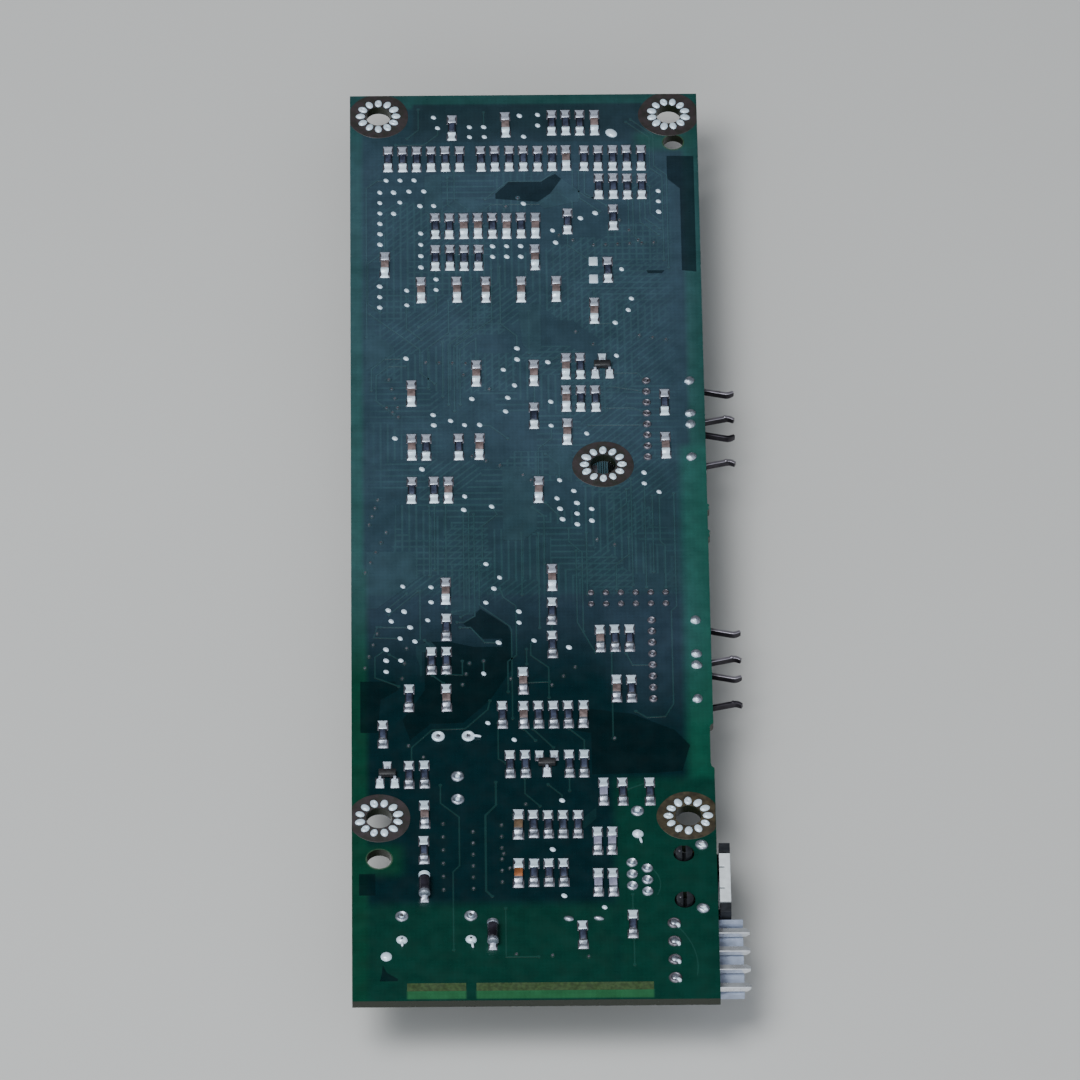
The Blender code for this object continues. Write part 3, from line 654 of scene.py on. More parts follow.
# Test points, as rows: how many, x, y, and the step to the next each way
TEST_POINTS = (
    (1, 14.7, 5.4), (1, 15.4, 8), (2, 21, 7.8, 2.5, 0), (2, 21, 10.2, 2.6, 0), (1, 29.8, 5.1), (2, 33, 4.9, 0, 2.6),
    (1, 30.5, 10.2), (3, 6.3, 20.6, 2.45, 0), (2, 5.2, 23.5, 2.4, 0), (2, 10.3, 23.3, 2.6, 0), (5, 5.2, 26, 0, 2.5),
    (1, 8.7, 25.9), (2, 12.2, 26.8, 2.4, 0), (1, 7.6, 28.6), (4, 12.3, 33.4, 0, 2.7), (3, 24.8, 36.6, 2.45, 0),
    (3, 24.8, 39.1, 2.45, 0), (2, 35.3, 32.9, 0.5, 2.9), (1, 30.3, 26.4), (2, 42.8, 28.8, -2.6, 1.2),
    (3, 53.9, 23.6, 0, 2.5), (2, 14.9, 44.4, 0, 2.5), (2, 9.8, 47, 0, 3.5), (3, 5.1, 46, 0, 2.5), (1, 47.2, 42.3),
    (2, 48.8, 49.3, -0.6, 2.7), (1, 45.9, 55), (1, 9.6, 63.1), (2, 28.8, 60.9, 0, 2.6), (1, 26.4, 65.9),
    (1, 34.1, 64.2), (1, 46, 62.8), (1, 28.3, 69.6), (2, 27.1, 72.5, -0.4, 3.2), (1, 20.9, 72.7),
    (2, 34.5, 73.5, 0, 5.6), (1, 14.2, 76.4), (1, 17.2, 77.8), (1, 14.3, 78.8), (2, 19.6, 78.8, 2.6, 0),
    (1, 7.6, 81.8), (1, 40.6, 81), (1, 12.2, 89), (2, 50.3, 90.2, 0, 2.5), (1, 52.8, 94.7), (2, 35.8, 91.8, 2.4, 2.5),
    (2, 35.3, 96, 0.5, 2.4), (3, 38.7, 97.1, 0, 2.45), (2, 41.2, 98.5, 0, 2.7), (1, 36.2, 100.8), (1, 19.5, 95.4),
    (1, 24.1, 97.8), (1, 19.3, 98.5), (1, 23, 111), (2, 25.3, 114.1, -1, 2.5), (1, 22.9, 119.8),
    (2, 28.5, 121.9, 0, 2.5), (1, 25, 128.9), (1, 31, 128.5), (1, 8.8, 116), (2, 13.6, 116.2, 0, 3.4), (1, 13, 123.7),
    (2, 6.3, 121.4, 2.7, 0.3), (2, 6.8, 123.9, 3.2, 1.4), (2, 8.3, 127.8, 2.5, 0.7), (3, 5.9, 130.3, 0, 2.5),
    (1, 8.4, 132.8), (1, 22.4, 135.9), (1, 36.9, 130.1), (1, 23, 147), (1, 27.4, 150.8), (1, 35.3, 164.4),
    (1, 33.6, 175.2), (1, 35.4, 185.4), (1, 42.1, 188),
)

# Vias closed over by the mask, in the same way
TENTED_VIAS = (
    (6, 15.3, 169.3, 0, 2.9), (6, 20.3, 171.1, 0, 2.5), (6, 25.1, 169.7, 0, 2.5), (6, 42.4, 36.4, 2.1, -0.1),
    (4, 4.6, 96, -0.5, 1.9), (5, 6, 103.5, -0.9, 2.3), (4, 4.4, 126.6, -0.7, 2.6), (3, 9.4, 130, -0.4, 3.4),
    (5, 13, 64, 2.3, 0.1), (4, 6.6, 68, 0.5, 2.2), (3, 6.2, 74.6, 1, 1.1), (3, 19.5, 67, 2.2, 1.7),
    (4, 23, 31, 2.1, -2), (2, 36.4, 34, 2.4, 1.2), (3, 47, 30.5, 1.6, 2.4), (3, 50, 58, 2.3, 0.5), (2, 39, 57, 3, 3),
    (3, 20.8, 86, 2.4, 1.1), (2, 29.5, 90.5, 1.4, 1.2), (2, 42, 105.5, 3, 1.2), (3, 20, 133.5, -0.6, 2.4),
    (1, 22.4, 133), (1, 44.3, 150.6), (2, 36.6, 142.4, 2.4, 0), (1, 12.6, 160.9), (2, 9.6, 151.9, 2.5, 2.6),
    (2, 25.4, 176, 1, 3.2), (3, 37.9, 134.5, -2, 2), (1, 27, 137), (2, 27.2, 167.4, 2, -2.3),
    (2, 32.6, 177.4, 3, 1.2), (3, 27.3, 198, 6, 0.3),
)


def rows_of(table):
    """The places of a table of rows; a single place has no step."""
    for count, x, y, *step in table:
        dx, dy = step or (0, 0)
        for i in range(count):
            yield x + i * dx, y + i * dy


def build_test_points():
    points = Shape("test_points", LIT_SOLDER, SHADED_SOLDER)
    for x, y in rows_of(TEST_POINTS):
        radius = 0.43 + rng.uniform(-0.03, 0.04)
        points.add(solder_dome(x, y, radius, 0.22))
    points.add(solder_dome(45.9, 9.5, 0.95, 0.4))
    points.add(turned(5.7, 198.4, [(0.95, 0), (0.9, 0.2), (0.6, 0.44), (0.3, 0.52), (0.02, 0.54)]))
    for x, stretch in ((36.1, (1.15, 0.72)), (41.1, (1.2, 0.55))):
        points.add(turned(x, 190.4, [(0.74, 0), (0.7, 0.14), (0.5, 0.32), (0.25, 0.38), (0.02, 0.40)],
                          stretch=stretch, turn=0.2), 1)
    points.build("solder")

    vias = Shape("tented_vias", POUR, DULL)
    for x, y in rows_of(TENTED_VIAS):
        vias.add(turned(x, y, [(0.48, 0), (0.44, 0.07), (0.26, 0.09), (0.18, 0.02), (0.02, 0.0)], 14))
        vias.add(turned(x, y, [(0.24, 0.05), (0.2, 0.085), (0.02, 0.09)], 12), 1)
    vias.build("board_mask")


def build_lead_joints():
    highlighted_joints = Shape("lead_joints_painted_highlights", LIT_SOLDER, SHADED_SOLDER)
    for x, y in LEAF_LEGS:
        highlighted_joints.add(lead_joint(x, y, 0.98, 0.46, 0.62, (1.0, 0.85)), 1)
        # Painted highlight: a small lit-solder dome beside each leg's joint
        highlighted_joints.add(solder_dome(x - 0.3, y + 0.42, 0.42, 0.5, False, 0.5, 1.5))
    for x, y in CLIP_JOINTS:
        highlighted_joints.add(solder_dome(x, y, 1.08, 0.5, True, 0.6, 1.05), 1)
        # Painted highlight: a lit-solder spot on each clip joint
        highlighted_joints.add(solder_dome(x + 0.3, y + 0.35, 0.5, 0.52))
    for x, y in FILM_LEADS:
        highlighted_joints.add(turned(x, y, [(0.44, 0.2), (0.42, 0.6), (0.3, 0.68), (0.02, 0.70)], 16))
    for x, y in (FILM_LEADS[1], CHOKE_LEADS[1], CHOKE_LEADS[3]):
        highlighted_joints.add(solder_dome(x, y, 0.92, 0.52, False, 0.3, 1.05))
    highlighted_joints.build("solder")

    # Places, pad and lead radii, and the material slots of the ring and the lead's end
    sunken = Shape("sunken_lead_joints", SHADED_SOLDER, LIT_SOLDER, DULL)
    for places, pad, wire, ring_slot, end_slot in (
            (JACK_PINS, 0.96, 0.24, 0, 1), (RADIAL_LEADS[:2], 1.12, 0.36, 1, 2),
            (RADIAL_LEADS[2:] + FILM_LEADS[:1] + CHOKE_LEADS[::2], 1.12, 0.36, 0, 1),
            (SIGNAL_PINS[:8], 0.74, 0.27, 2, 2), (SIGNAL_PINS[8:], 0.74, 0.27, 2, 0),
            (HEADER_PINS, 0.56, 0.32, 2, 2), (POWER_PINS, 1.12, 0.58, 2, 0)):
        for x, y in places:
            ring, end = sunken_joint(x, y, pad, wire)
            sunken.add(ring, ring_slot)
            sunken.add(end, end_slot)
            if places is POWER_PINS:
                # Painted highlight: a lit-solder dome on each power pin's joint
                sunken.add(solder_dome(x + 0.6, y + 0.55, 0.42, 0.42), 1)
    sunken.build("solder")

    # Clipped lead ends bent over beside four joints, and which way they lie
    stubs = Shape("bent_lead_ends", LIT_SOLDER)
    for (x, y), (dx, dy) in ((FILM_LEADS[1], (0.6, 2.1)), (CHOKE_LEADS[1], (0.05, 1.5)),
                             (CHOKE_LEADS[3], (0.3, 1.9)), ((19.7, 149.9), (2.1, 0.3))):
        path = rounded([at(x + dx * share, y + dy * share, TOP + z)
                        for share, z in ((0.4, 0.30), (0.7, 0.34), (1.0, 0.22))], 0.3)
        stubs.add(bar(path, (dy, dx, 0.0001), 0.40, 0.40, tip=0.7, chamfer=0.29))
    stubs.build("solder")


# ---------------------------------------------------------------- chips on both sides

class ChipSet:
    """Small soldered parts on one face of the board, gathered by finish.

    A part's place is its (x, y, turn); u, v and w are across it, along it and up from the board.
    """

    def __init__(self, prefix, base, up):
        self.base = base
        self.up = up
        self.bodies = {kind: (Shape(prefix + name, *materials), slot) for kind, name, slot, *materials in (
            ("R", "resistors", "resistor_body", RESISTOR_SHADED_BODY, GLAZE),
            ("C", "capacitors", "capacitor_body", CERAMIC),
            ("L", "lilac_capacitors", "capacitor_body", LILAC),
            ("O", "orange_capacitors", "capacitor_body", ORANGE),
            ("U", "umber_capacitors", "capacitor_body", UMBER),
            ("D", "diodes", "chip_epoxy", GLASS),
            ("T", "transistors", "chip_epoxy", EPOXY, TERMINAL))}
        self.solder = Shape(prefix + "pad_solder", LIT_SOLDER, TERMINAL, SHADED_SOLDER)
        self.caps = Shape(prefix + "chip_terminals", LIT_SOLDER, TERMINAL, SHADED_SOLDER)
        self.pads_flat = Shape(prefix + "pad_tinning", DULL)

    def put(self, shape, verts, faces, place, slot=0):
        x, y, turn = place
        c, s = math.cos(turn), math.sin(turn)
        moved = [at(x + u * c - v * s, y + u * s + v * c, self.base + self.up * w) for u, v, w in verts]
        shape.add((moved, faces), slot, flip=self.up > 0)

    def box(self, shape, place, u, v, w, c=0.05, slot=0):
        """A box with chamfered corners; u, v and w are its (from, to) each way."""
        verts = []
        for z, k in ((w[0], c), (w[0] + c, 0), (w[1] - c, 0), (w[1], c)):
            verts += octagon(u[0] + k, u[1] - k, v[0] + k, v[1] - k, c, z)
        self.put(shape, verts, capped(4, 8), place, slot)

    def fillet(self, place, end, outer, inner, half, height, slot=0, waist=0.34):
        """Solder from the pad's outer edge up to a part's end face, drawn in at its waist.

        end is +1 or -1 along the part.
        """
        across = (-1.0, -0.94, -0.7, -0.35, 0.0, 0.35, 0.7, 0.94, 1.0)
        steps = 9
        power = rng.uniform(1.1, 1.7)
        verts = []
        for k in range(steps + 1):
            t = k / steps
            v = outer + (inner - outer) * t
            rise = height * t ** power + 0.10 * math.sin(math.pi * min(1.0, t * 1.5))
            wide = (1.0 - 0.26 * t) * (1.0 - waist * math.sin(math.pi * t) ** 1.5)
            for s in across:
                w = 0.03 if abs(s) > 0.99 else 0.05 + rise * (1 - 0.25 * s * s)
                verts.append((s * half * wide, end * v, 0.02 if k == 0 else w))
        faces = rings_to_faces(steps + 1, len(across), closed=False)
        self.put(self.solder, verts, turned_over(faces) if end < 0 else faces, place, slot)
        along = sorted((end * (outer + 0.04), end * (inner - 0.5)))
        self.box(self.pads_flat, place, (-half - 0.02, half + 0.02), along, (0.0, 0.045), 0.01)

    def chip(self, kind, x, y, size=1.0):
        """A chip part 3.2 mm long between two soldered pads: one end takes the painted-lit solder, the other a darker
        copy standing for shade.
        """
        far = y < FAR_HALF
        x += rng.uniform(-0.05, 0.05)
        y += rng.uniform(-0.06, 0.06)
        place = x, y + 0.2, rng.uniform(-0.02, 0.02)
        body, _ = self.bodies[kind]
        half = 0.66 * size
        reach = 1.6 * size
        tall, band = (0.46, 1.14) if kind == "R" else (0.64, 0.90 * size)
        self.box(body, place, (-half, half), (-band, band), (0.04, tall - 0.03))
        if kind == "R":
            self.box(body, place, (-half * 0.66, half * 0.66), (-0.98, 0.98), (tall - 0.05, tall + 0.005), 0.02, 1)
        for end in (-1, 1):
            # Painted light: lit solder on one end, and terminal metal or painted-shade solder on the other
            slot = 0 if end == (1 if far else -1) else 1 if far else 2
            self.box(self.caps, place, (-half - 0.02, half + 0.02), sorted((end * band, end * reach)),
                     (0.03, tall), 0.06, slot)
            height = tall * rng.uniform(0.65, 0.85)
            self.fillet(place, end, 3.08 * size - 0.2 * end, reach - 0.04, 0.88 * size, height, slot,
                        rng.uniform(0.16, 0.34))

    def pads(self, x, y):
        """Two soldered pads with no part on them."""
        for v in (-2.1, 2.1):
            verts = []
            for w, share in ((0.0, 1.0), (0.14, 0.97), (0.26, 0.72), (0.30, 0.35)):
                verts += [(0.78 * share * cu, 0.98 * share * cv, w) for cu, cv in
                          ((-0.9, -1), (0.9, -1), (1, -0.9), (1, 0.9), (0.9, 1), (-0.9, 1), (-1, 0.9), (-1, -0.9))]
            faces = rings_to_faces(4, 8) + [tuple(range(24, 32))]
            self.put(self.solder, verts, faces, (x, y + v, 0.0))

    def diode(self, x, y):
        """A round glass diode lying on two pads, with metal end caps."""
        place = x, y, 0.0
        radius = 0.92
        for shape, low, high, grow in ((self.bodies["D"][0], -1.55, 1.55, 1.0), (self.caps, -2.3, -1.5, 1.04),
                                       (self.caps, 1.5, 2.3, 1.04)):
            verts = []
            for v, share in ((low, 0.82), (low + 0.12, 1.0), (high - 0.12, 1.0), (high, 0.82)):
                verts += [(a, v, radius + 0.06 + b) for a, b in circle(0.0, 0.0, radius * share * grow, 20)]
            # Painted shade: the near caps, and both caps of the diode past y 190, take the shaded solder
            slot = 2 if shape is self.caps and (low > 0 or y > 190) else 0
            self.put(shape, verts, turned_over(capped(4, 20)), place, slot)
        for end in (-1, 1):
            # Painted shade: the diode's fillets take the shaded solder
            self.fillet(place, end, 3.2, 2.2, 0.70, 0.9, 2, 0.2)

    def transistor(self, x, y, facing):
        """A three-legged part: one leg on the side facing names (-1 far, +1 near), two on the other."""
        place = x, y, 0.0
        body, _ = self.bodies["T"]
        self.box(body, place, (-1.45, 1.45), (-0.65, 0.65), (0.1, 1.0), 0.12)
        for u, v in ((0.0, facing), (-1.25, -facing), (1.25, -facing)):
            for near, far, heights in ((0.6, 1.25, (0.35, 0.5)), (1.15, 1.6, (0.03, 0.45))):
                self.box(body, place, (u - 0.22, u + 0.22), sorted((v * near, v * far)), heights, 0.03, 1)
            self.fillet((x + u, y, 0.0), v, 2.95, 1.15, 0.74, 0.30, 0, 0.1)

    def rows(self, table):
        """Rows of chips, CHIP_PITCH apart."""
        for kinds, x, y in table:
            for i, kind in enumerate(kinds):
                self.chip(kind, x + CHIP_PITCH * i, y)

    def build(self):
        for shape, slot in self.bodies.values():
            if shape.verts:
                shape.build(slot)
        self.solder.build("solder", angle=50)
        self.caps.build("tinned_metal")
        self.pads_flat.build("solder")


# Rows of chips of the solder side, as the kinds from left to right and the first one's place
CHIP_ROWS = (
    ("RRRC", 35.4, 6.9), ("R", 17.9, 8), ("C", 27.3, 7.3), ("RRRRRR", 6.7, 15.5), ("RRRRRRC", 22.9, 15.5),
    ("RRRRR", 41, 15.5), ("RRRR", 43.5, 22.4), ("RRCCRCRC", 14.8, 31.7), ("R", 37.9, 30.7), ("R", 45.9, 29.9),
    ("RRRR", 14.8, 39.3), ("C", 32.2, 39.3), ("C", 6, 40.9), ("R", 44.8, 42.4), ("C", 12.3, 46.9), ("C", 18.5, 46.9),
    ("C", 23.5, 46.9), ("C", 29.7, 46.9), ("C", 35.8, 46.9), ("C", 42.3, 52.1), ("CR", 37.2, 65.2), ("C", 21.7, 66.7),
    ("C", 31.7, 66.7), ("C", 10.5, 71.3), ("CRR", 37.2, 72.8), ("R", 31.6, 76.7), ("R", 54.1, 73.8),
    ("C", 37.3, 80.5), ("CR", 10.5, 83.9), ("R", 18.5, 83.9), ("C", 22.1, 83.9), ("C", 54.1, 83.9), ("R", 10.4, 93.9),
    ("RC", 14.2, 93.9), ("C", 32.2, 93.9), ("C", 34.2, 114.2), ("C", 16.1, 117.1), ("R", 34.1, 121.8),
    ("R", 16.1, 125.3), ("CRR", 42.2, 128.1), ("R", 34.1, 129.4), ("RR", 13.6, 132.9), ("C", 29.1, 137.6),
    ("CR", 44.8, 139.5), ("R", 9.75, 141.3), ("C", 16, 141.3), ("R", 25.5, 145.2), ("CRRRC", 29.1, 145.2),
    ("R", 5.3, 149.4), ("RR", 26.7, 156.2), ("RR", 36.6, 156.2), ("RR", 9.7, 158.4), ("L", 42.3, 162.5),
    ("R", 45.5, 162.5), ("R", 50.1, 162.5), ("C", 12.2, 167.3), ("RRRR", 30.4, 169.6), ("LL", 41.1, 173.4),
    ("R", 12.1, 175.1), ("RRR", 30.4, 180.3), ("LL", 41.1, 182.5), ("R", 46.7, 191.7), ("R", 38.4, 193.9),
)

UNDER_CHIP_ROWS = (
    ("CCC", 36.5, 90), ("RRCR", 36.5, 101), ("CRRC", 10, 84), ("RRRR", 8, 113.5), ("CC", 15.5, 48), ("CC", 29, 70.5),
    ("RR", 36, 20.5), ("RCR", 47, 45), ("RR", 23.5, 28), ("CRC", 25, 120.5), ("RR", 41, 134), ("CC", 42.5, 158.5),
    ("RRR", 7, 140.5), ("R", 24, 178), ("CC", 22.5, 43), ("RCRR", 33, 111.5),
)


def build_chips():
    top = ChipSet("", TOP, 1)
    top.rows(CHIP_ROWS)
    top.chip("U", 27.9, 169.6, 1.08)
    top.chip("O", 27.8, 180.3, 1.05)
    top.pads(42.3, 42.5)
    for x, y, facing in ((43.5, 65.2, -1), (32.85, 156.2, 1), (6.0, 158.4, -1)):
        top.transistor(x, y, facing)
    top.diode(12.1, 183.4)
    top.diode(23.4, 193.9)
    top.build()
    low = ChipSet("under_", UNDER, -1)
    low.rows(UNDER_CHIP_ROWS)
    low.build()


# ---------------------------------------------------------------- tracks

# Tracks of the solder side, each as x, y, x, y ... of its places in order
TRACKS = (
    (9.6, 63.1, 5.9, 63.1, 3.6, 65.6, 3.6, 70.5), (9.4, 64.9, 6.6, 64.9, 4.4, 67.1, 4.4, 73, 7.5, 76.2),
    (3.3, 52.5, 7.9, 57, 12, 61, 12, 66.5, 14.5, 69), (13.4, 70, 13.4, 60.5, 17, 57, 17, 49.5),
    (15.9, 72, 15.9, 59.2), (16.9, 74, 16.9, 59.8, 21, 55.8, 21, 44), (17.9, 75.5, 17.9, 60.2, 24.5, 54, 24.5, 42),
    (18.9, 74, 18.9, 61, 21.7, 58.4, 21.7, 63.4), (9.7, 48.4, 9.7, 56, 12.3, 58.6), (30.9, 52, 30.9, 62),
    (26, 41.5, 26, 55, 28.8, 58, 28.8, 60.9), (5.2, 36, 5.2, 38.5, 3, 40.6, 3, 50, 5.1, 52),
    (2.8, 58, 2.8, 22.5, 4.8, 20.6, 6.3, 20.6), (12.3, 41.5, 12.3, 43.6), (14.9, 46.9, 14.9, 52.5, 11.8, 55.6),
    (6, 37.8, 6, 33.6, 5.2, 33.6), (10, 10.5, 12, 8.4, 12, 3.4), (8, 12, 13, 12, 15.4, 9.6, 15.4, 8),
    (23.5, 4.2, 23.5, 7.8), (48.5, 6.8, 52.5, 10.6, 52.5, 18, 54.6, 20, 54.6, 40),
    (49.3, 6.2, 53.2, 10, 53.2, 17.5, 55.4, 19.7, 55.4, 42), (50.6, 25.5, 50.6, 31, 53.8, 34),
    (51.5, 25.5, 51.5, 30.2, 54, 32.6), (52.4, 22.4, 52.4, 29, 54.2, 30.8), (48.6, 25.5, 48.6, 35.6),
    (49.4, 25.5, 49.4, 34, 51.4, 36), (37.9, 33.8, 37.9, 36.4, 42.4, 40.8),
    (22.6, 28.6, 24.6, 26.5, 28.6, 26.5, 33, 26.5, 36.2, 23.5, 38.8, 26, 38.8, 29.4),
    (23.6, 25.2, 27.6, 21, 33.4, 21, 36, 18.6), (17, 20, 17, 26.5, 19.6, 28.8), (18.2, 18.6, 18.2, 25.4, 20.6, 27.8),
    (41, 18.6, 41, 24, 44.8, 27), (40, 18.6, 40, 25, 43.6, 28.4), (38.9, 18.6, 38.9, 22.4, 41.4, 25, 46, 25.6),
    (42.3, 49, 42.3, 46.8), (42.6, 55.2, 45.9, 55), (34.1, 64.2, 37.2, 62.2), (31.7, 69.8, 31.7, 73.5),
    (27, 82, 24, 79, 22.2, 78.8), (34.5, 79.1, 34.5, 82, 32.2, 84.4, 32.2, 90.6), (33.3, 97, 36.2, 100.8),
    (31, 98, 33, 100, 33, 110.9), (33.4, 85.6, 35.8, 88.2, 35.8, 91.8), (45.5, 66.8, 49.5, 66.8, 51, 68.8),
    (43.8, 75, 48.6, 75, 51, 76.4), (44.8, 69.9, 50, 71), (41, 79, 48, 79, 51, 79), (48, 91.5, 48, 116),
    (50.3, 92.7, 50.3, 116.6), (52.8, 94.7, 52.8, 106, 53.6, 107, 53.6, 116.6), (51.6, 95.6, 51.6, 113),
    (55.3, 95, 55.3, 121, 54.4, 122, 54.4, 143, 53, 145.8, 49.8, 146, 48, 144.6),
    (44.9, 104, 44.9, 99.6, 47.2, 97.2, 47.2, 94), (47.4, 105, 47.4, 109, 45.2, 111.2, 45.2, 117),
    (37.2, 103, 37.2, 106, 39.4, 108.4, 39.4, 126.5), (38.4, 108, 38.4, 124.4, 40.6, 129.6, 41.4, 131.2),
    (40.2, 104, 40.2, 118), (13.4, 97.5, 13.4, 113.5), (14.3, 97.5, 14.3, 112), (16.2, 121, 16.2, 97.5, 14.2, 95.5),
    (19.2, 98.5, 19.2, 121.4, 17.2, 121.9), (20.1, 99, 20.1, 122, 18.6, 123),
    (21, 99.5, 21, 122.8, 19.2, 124.2, 18, 124.2), (22.4, 110, 22.4, 102.2, 25, 99.6, 24.1, 97.8),
    (21.8, 111, 21.8, 120.4, 26.9, 125.2, 27.2, 126, 27.2, 146),
    (25.3, 116.6, 25.9, 118.6, 28, 120.6, 28, 131.8, 26.5, 133.2, 26.5, 140),
    (18.5, 125.4, 20.2, 125.4, 22.6, 128.8, 25, 128.9),
    (31, 128.5, 30.4, 129.2, 30.4, 131.8, 33.4, 134.6, 33.4, 141.4), (29.7, 130.4, 29.7, 133.8),
    (29.1, 118, 29.1, 104), (32, 104, 32, 125.6), (44.1, 131.4, 44.1, 150.6), (46.6, 131.6, 47.6, 134.2, 51, 134.2),
    (5.9, 121.4, 9.4, 117.6), (6.4, 122.4, 11.4, 117), (5, 125.2, 9.9, 125.3), (4.4, 125.2, 3.8, 127.6, 8.3, 127.8),
    (5.9, 130.3, 4, 132, 4, 136.6, 8, 138.6), (8.4, 132.8, 6.4, 131.4), (11.7, 117, 11.7, 128, 10.8, 128.5),
    (12.4, 128.2, 13.6, 129.8), (22.4, 133, 22.4, 135.9),
    (10.1, 155.3, 10.1, 152.4, 13.6, 148.4, 19.2, 148.2, 23, 144, 23.4, 142),
    (14.9, 160.8, 14.9, 164.8, 18, 167.9, 18, 178.6, 16.9, 180, 16.9, 197), (24.7, 147, 24.7, 155, 26, 156),
    (30.6, 148.4, 34, 152.6), (29.1, 148.4, 31, 151), (36.7, 148.4, 39.2, 151, 39.2, 153),
    (33, 160.8, 35.3, 163.2, 35.3, 164.4), (29.1, 159.4, 29.1, 162.8, 31.6, 165.6), (36.6, 159.4, 36.6, 162.2),
    (28.9, 138, 33.5, 137.8), (46.8, 185.2, 46.8, 188.4), (46.9, 194.9, 46.9, 200.5),
    (25.6, 188, 25.6, 198.6, 31, 198.6), (46.4, 162, 50, 160.4), (34.1, 125, 34.1, 126.2),
    (16, 136, 18.8, 136.2, 18.8, 133), (13.7, 136.2, 15.6, 138),
)

WIDE_TRACK = (24.2, 160.2, 24.2, 165.3, 22.4, 167.6, 22.4, 184.2, 23.4, 185.4)

# Curved lines: centre, radius, and angles from and to
ARCS = ((46.5, 183.0, 5.0, -0.9, 0.5), (44.0, 201.0, 13.4, -0.75, 0.15))

# Copper areas of the solder side that show lighter under the mask, each as its corners in the same way
POURS = (
    (26, 88.5, 31, 88.5, 31, 91, 31.8, 92, 31.8, 103.2, 29.4, 105.6, 26, 105.6),
    (2.6, 55.5, 7.6, 60.5, 7.6, 61.6, 2.6, 66), (2.6, 108, 11, 108, 11, 114.5, 4.4, 121, 2.6, 121),
    (37, 20.4, 40, 23.4, 40, 26, 34, 27.6, 32.6, 26.2, 35, 24), (38, 84, 38, 92.5, 36, 90.5, 34, 90.5, 34, 84),
    (13, 19.6, 16, 19.6, 16, 27.6, 14, 29, 13, 28), (17, 28.4, 24, 28.4, 24, 27.4, 21.6, 25, 19, 25, 17, 27),
    (29, 50.5, 33, 50.5, 33, 61, 31.5, 62.5, 29.8, 60),
    (11.6, 136.4, 11.6, 134, 11, 132, 11, 129.6, 13.4, 128.4, 14.6, 130, 14.6, 131, 12, 131, 12, 136.4),
    (17, 118.8, 21.8, 118.8, 21.8, 121.2, 20.4, 122.6, 17, 122.6), (37.2, 170, 41, 166, 41, 168.5, 39, 170.6),
)

# Gaps in the copper, which show darker
GAPS = (
    (51.5, 42.6, 54.7, 42.6, 54.2, 43.3, 51.8, 43.3),
    (25.4, 23.9, 28, 20.9, 33.3, 20.9, 35.9, 19.3, 38.5, 22.2, 35.9, 25.1, 33.2, 26, 25.4, 25.2),
    (55.5, 15.1, 60.2, 15.2, 60.2, 43, 57.7, 42.6, 57.7, 23, 55.5, 20.6),
    (1.5, 137.5, 7.4, 137.5, 8, 139.4, 4.9, 141.7, 4.4, 149, 1.5, 149),
    (22, 121.2, 26.6, 125.2, 27.3, 127.4, 27.3, 134.6, 23.4, 141.9, 18.8, 146.9, 13.3, 147.1, 9.9, 150.7, 8.6, 146.2,
     12.4, 139.6, 12.4, 128.6, 16.6, 128.6, 20.6, 129.8, 25.6, 129.8, 25.6, 128, 22.4, 128, 19, 124.6),
    (38.6, 143.7, 47.4, 145.2, 54.5, 148.9, 57, 152.3, 55.6, 158, 51.4, 158.4, 40.4, 158.6, 40.4, 149.4, 37.6, 148.8),
    (1.2, 180.3, 3.9, 180.3, 3.9, 185, 1.2, 185),
    (5.1, 200.3, 5.8, 201.9, 7.6, 203.2, 7.6, 203.7, 4.6, 203.7, 4.9, 202.2),
)


def pairs(row):
    return list(zip(row[::2], row[1::2]))


def build_tracks():
    lines = Shape("mask_tracks", TRACK)
    for width, tracks in ((TRACK_WIDTH, TRACKS), (WIDE_TRACK_WIDTH, (WIDE_TRACK,))):
        for points in map(pairs, tracks):
            lines.add(strip(points, width))
            for x, y in (points[0], points[-1]):
                lines.add(turned(x, y, [(0.34, 0), (0.32, 0.04), (0.02, 0.045)], 12))
    for x, y, radius, start, end in ARCS:
        angles = [start + (end - start) * i / 14 for i in range(15)]
        lines.add(strip([(x + radius * math.cos(a), y + radius * math.sin(a)) for a in angles], 0.22, 0.02))
    lines.build("board_mask")
    for name, material, areas, height in (("mask_pours", POUR, POURS, 0.03), ("mask_gaps", GAP, GAPS, 0.012)):
        shape = Shape(name, material)
        for points in map(pairs, areas):
            shape.add(sheet(points, height))
        shape.build("board_mask")


# ---------------------------------------------------------------- connectors

def build_pin(name, node, path, width, tip, tail, chamfer):
    pin = Shape(name, TINNED)
    pin.add(bar(path, (0, 1, 0), width, width, tip, tail, chamfer))
    pin.build("tinned_metal", stands_for=(node,))


def build_jack():
    refined("jack_housing", BLACK, 0.14)
    refined("jack_front_frame", WHITE, 0.12)
    for number in (1, 2):
        refined(f"jack_ground_clip_{number}", TINNED, 0.05)
    for number, (x, y) in enumerate(JACK_PINS, start=1):
        path = rounded([at(x, y, TAIL_TOP), at(x, y, JACK_WIRE_Z), at(57.4, y, JACK_WIRE_Z), at(51.6, y, 6.2)], 0.7)
        build_pin(f"jack_wire_{number}", f"jack_contact_{number}", path, 0.4, 0.6, 0.6, 0.29)
    tips = Shape("peg_glints", DULL)
    for x, y in PEGS:
        tips.add(turned(x - 0.75, y - 0.2, [(0.2, 0.50), (0.16, 0.56), (0.02, 0.58)], 10))
    tips.build("black_plastic")


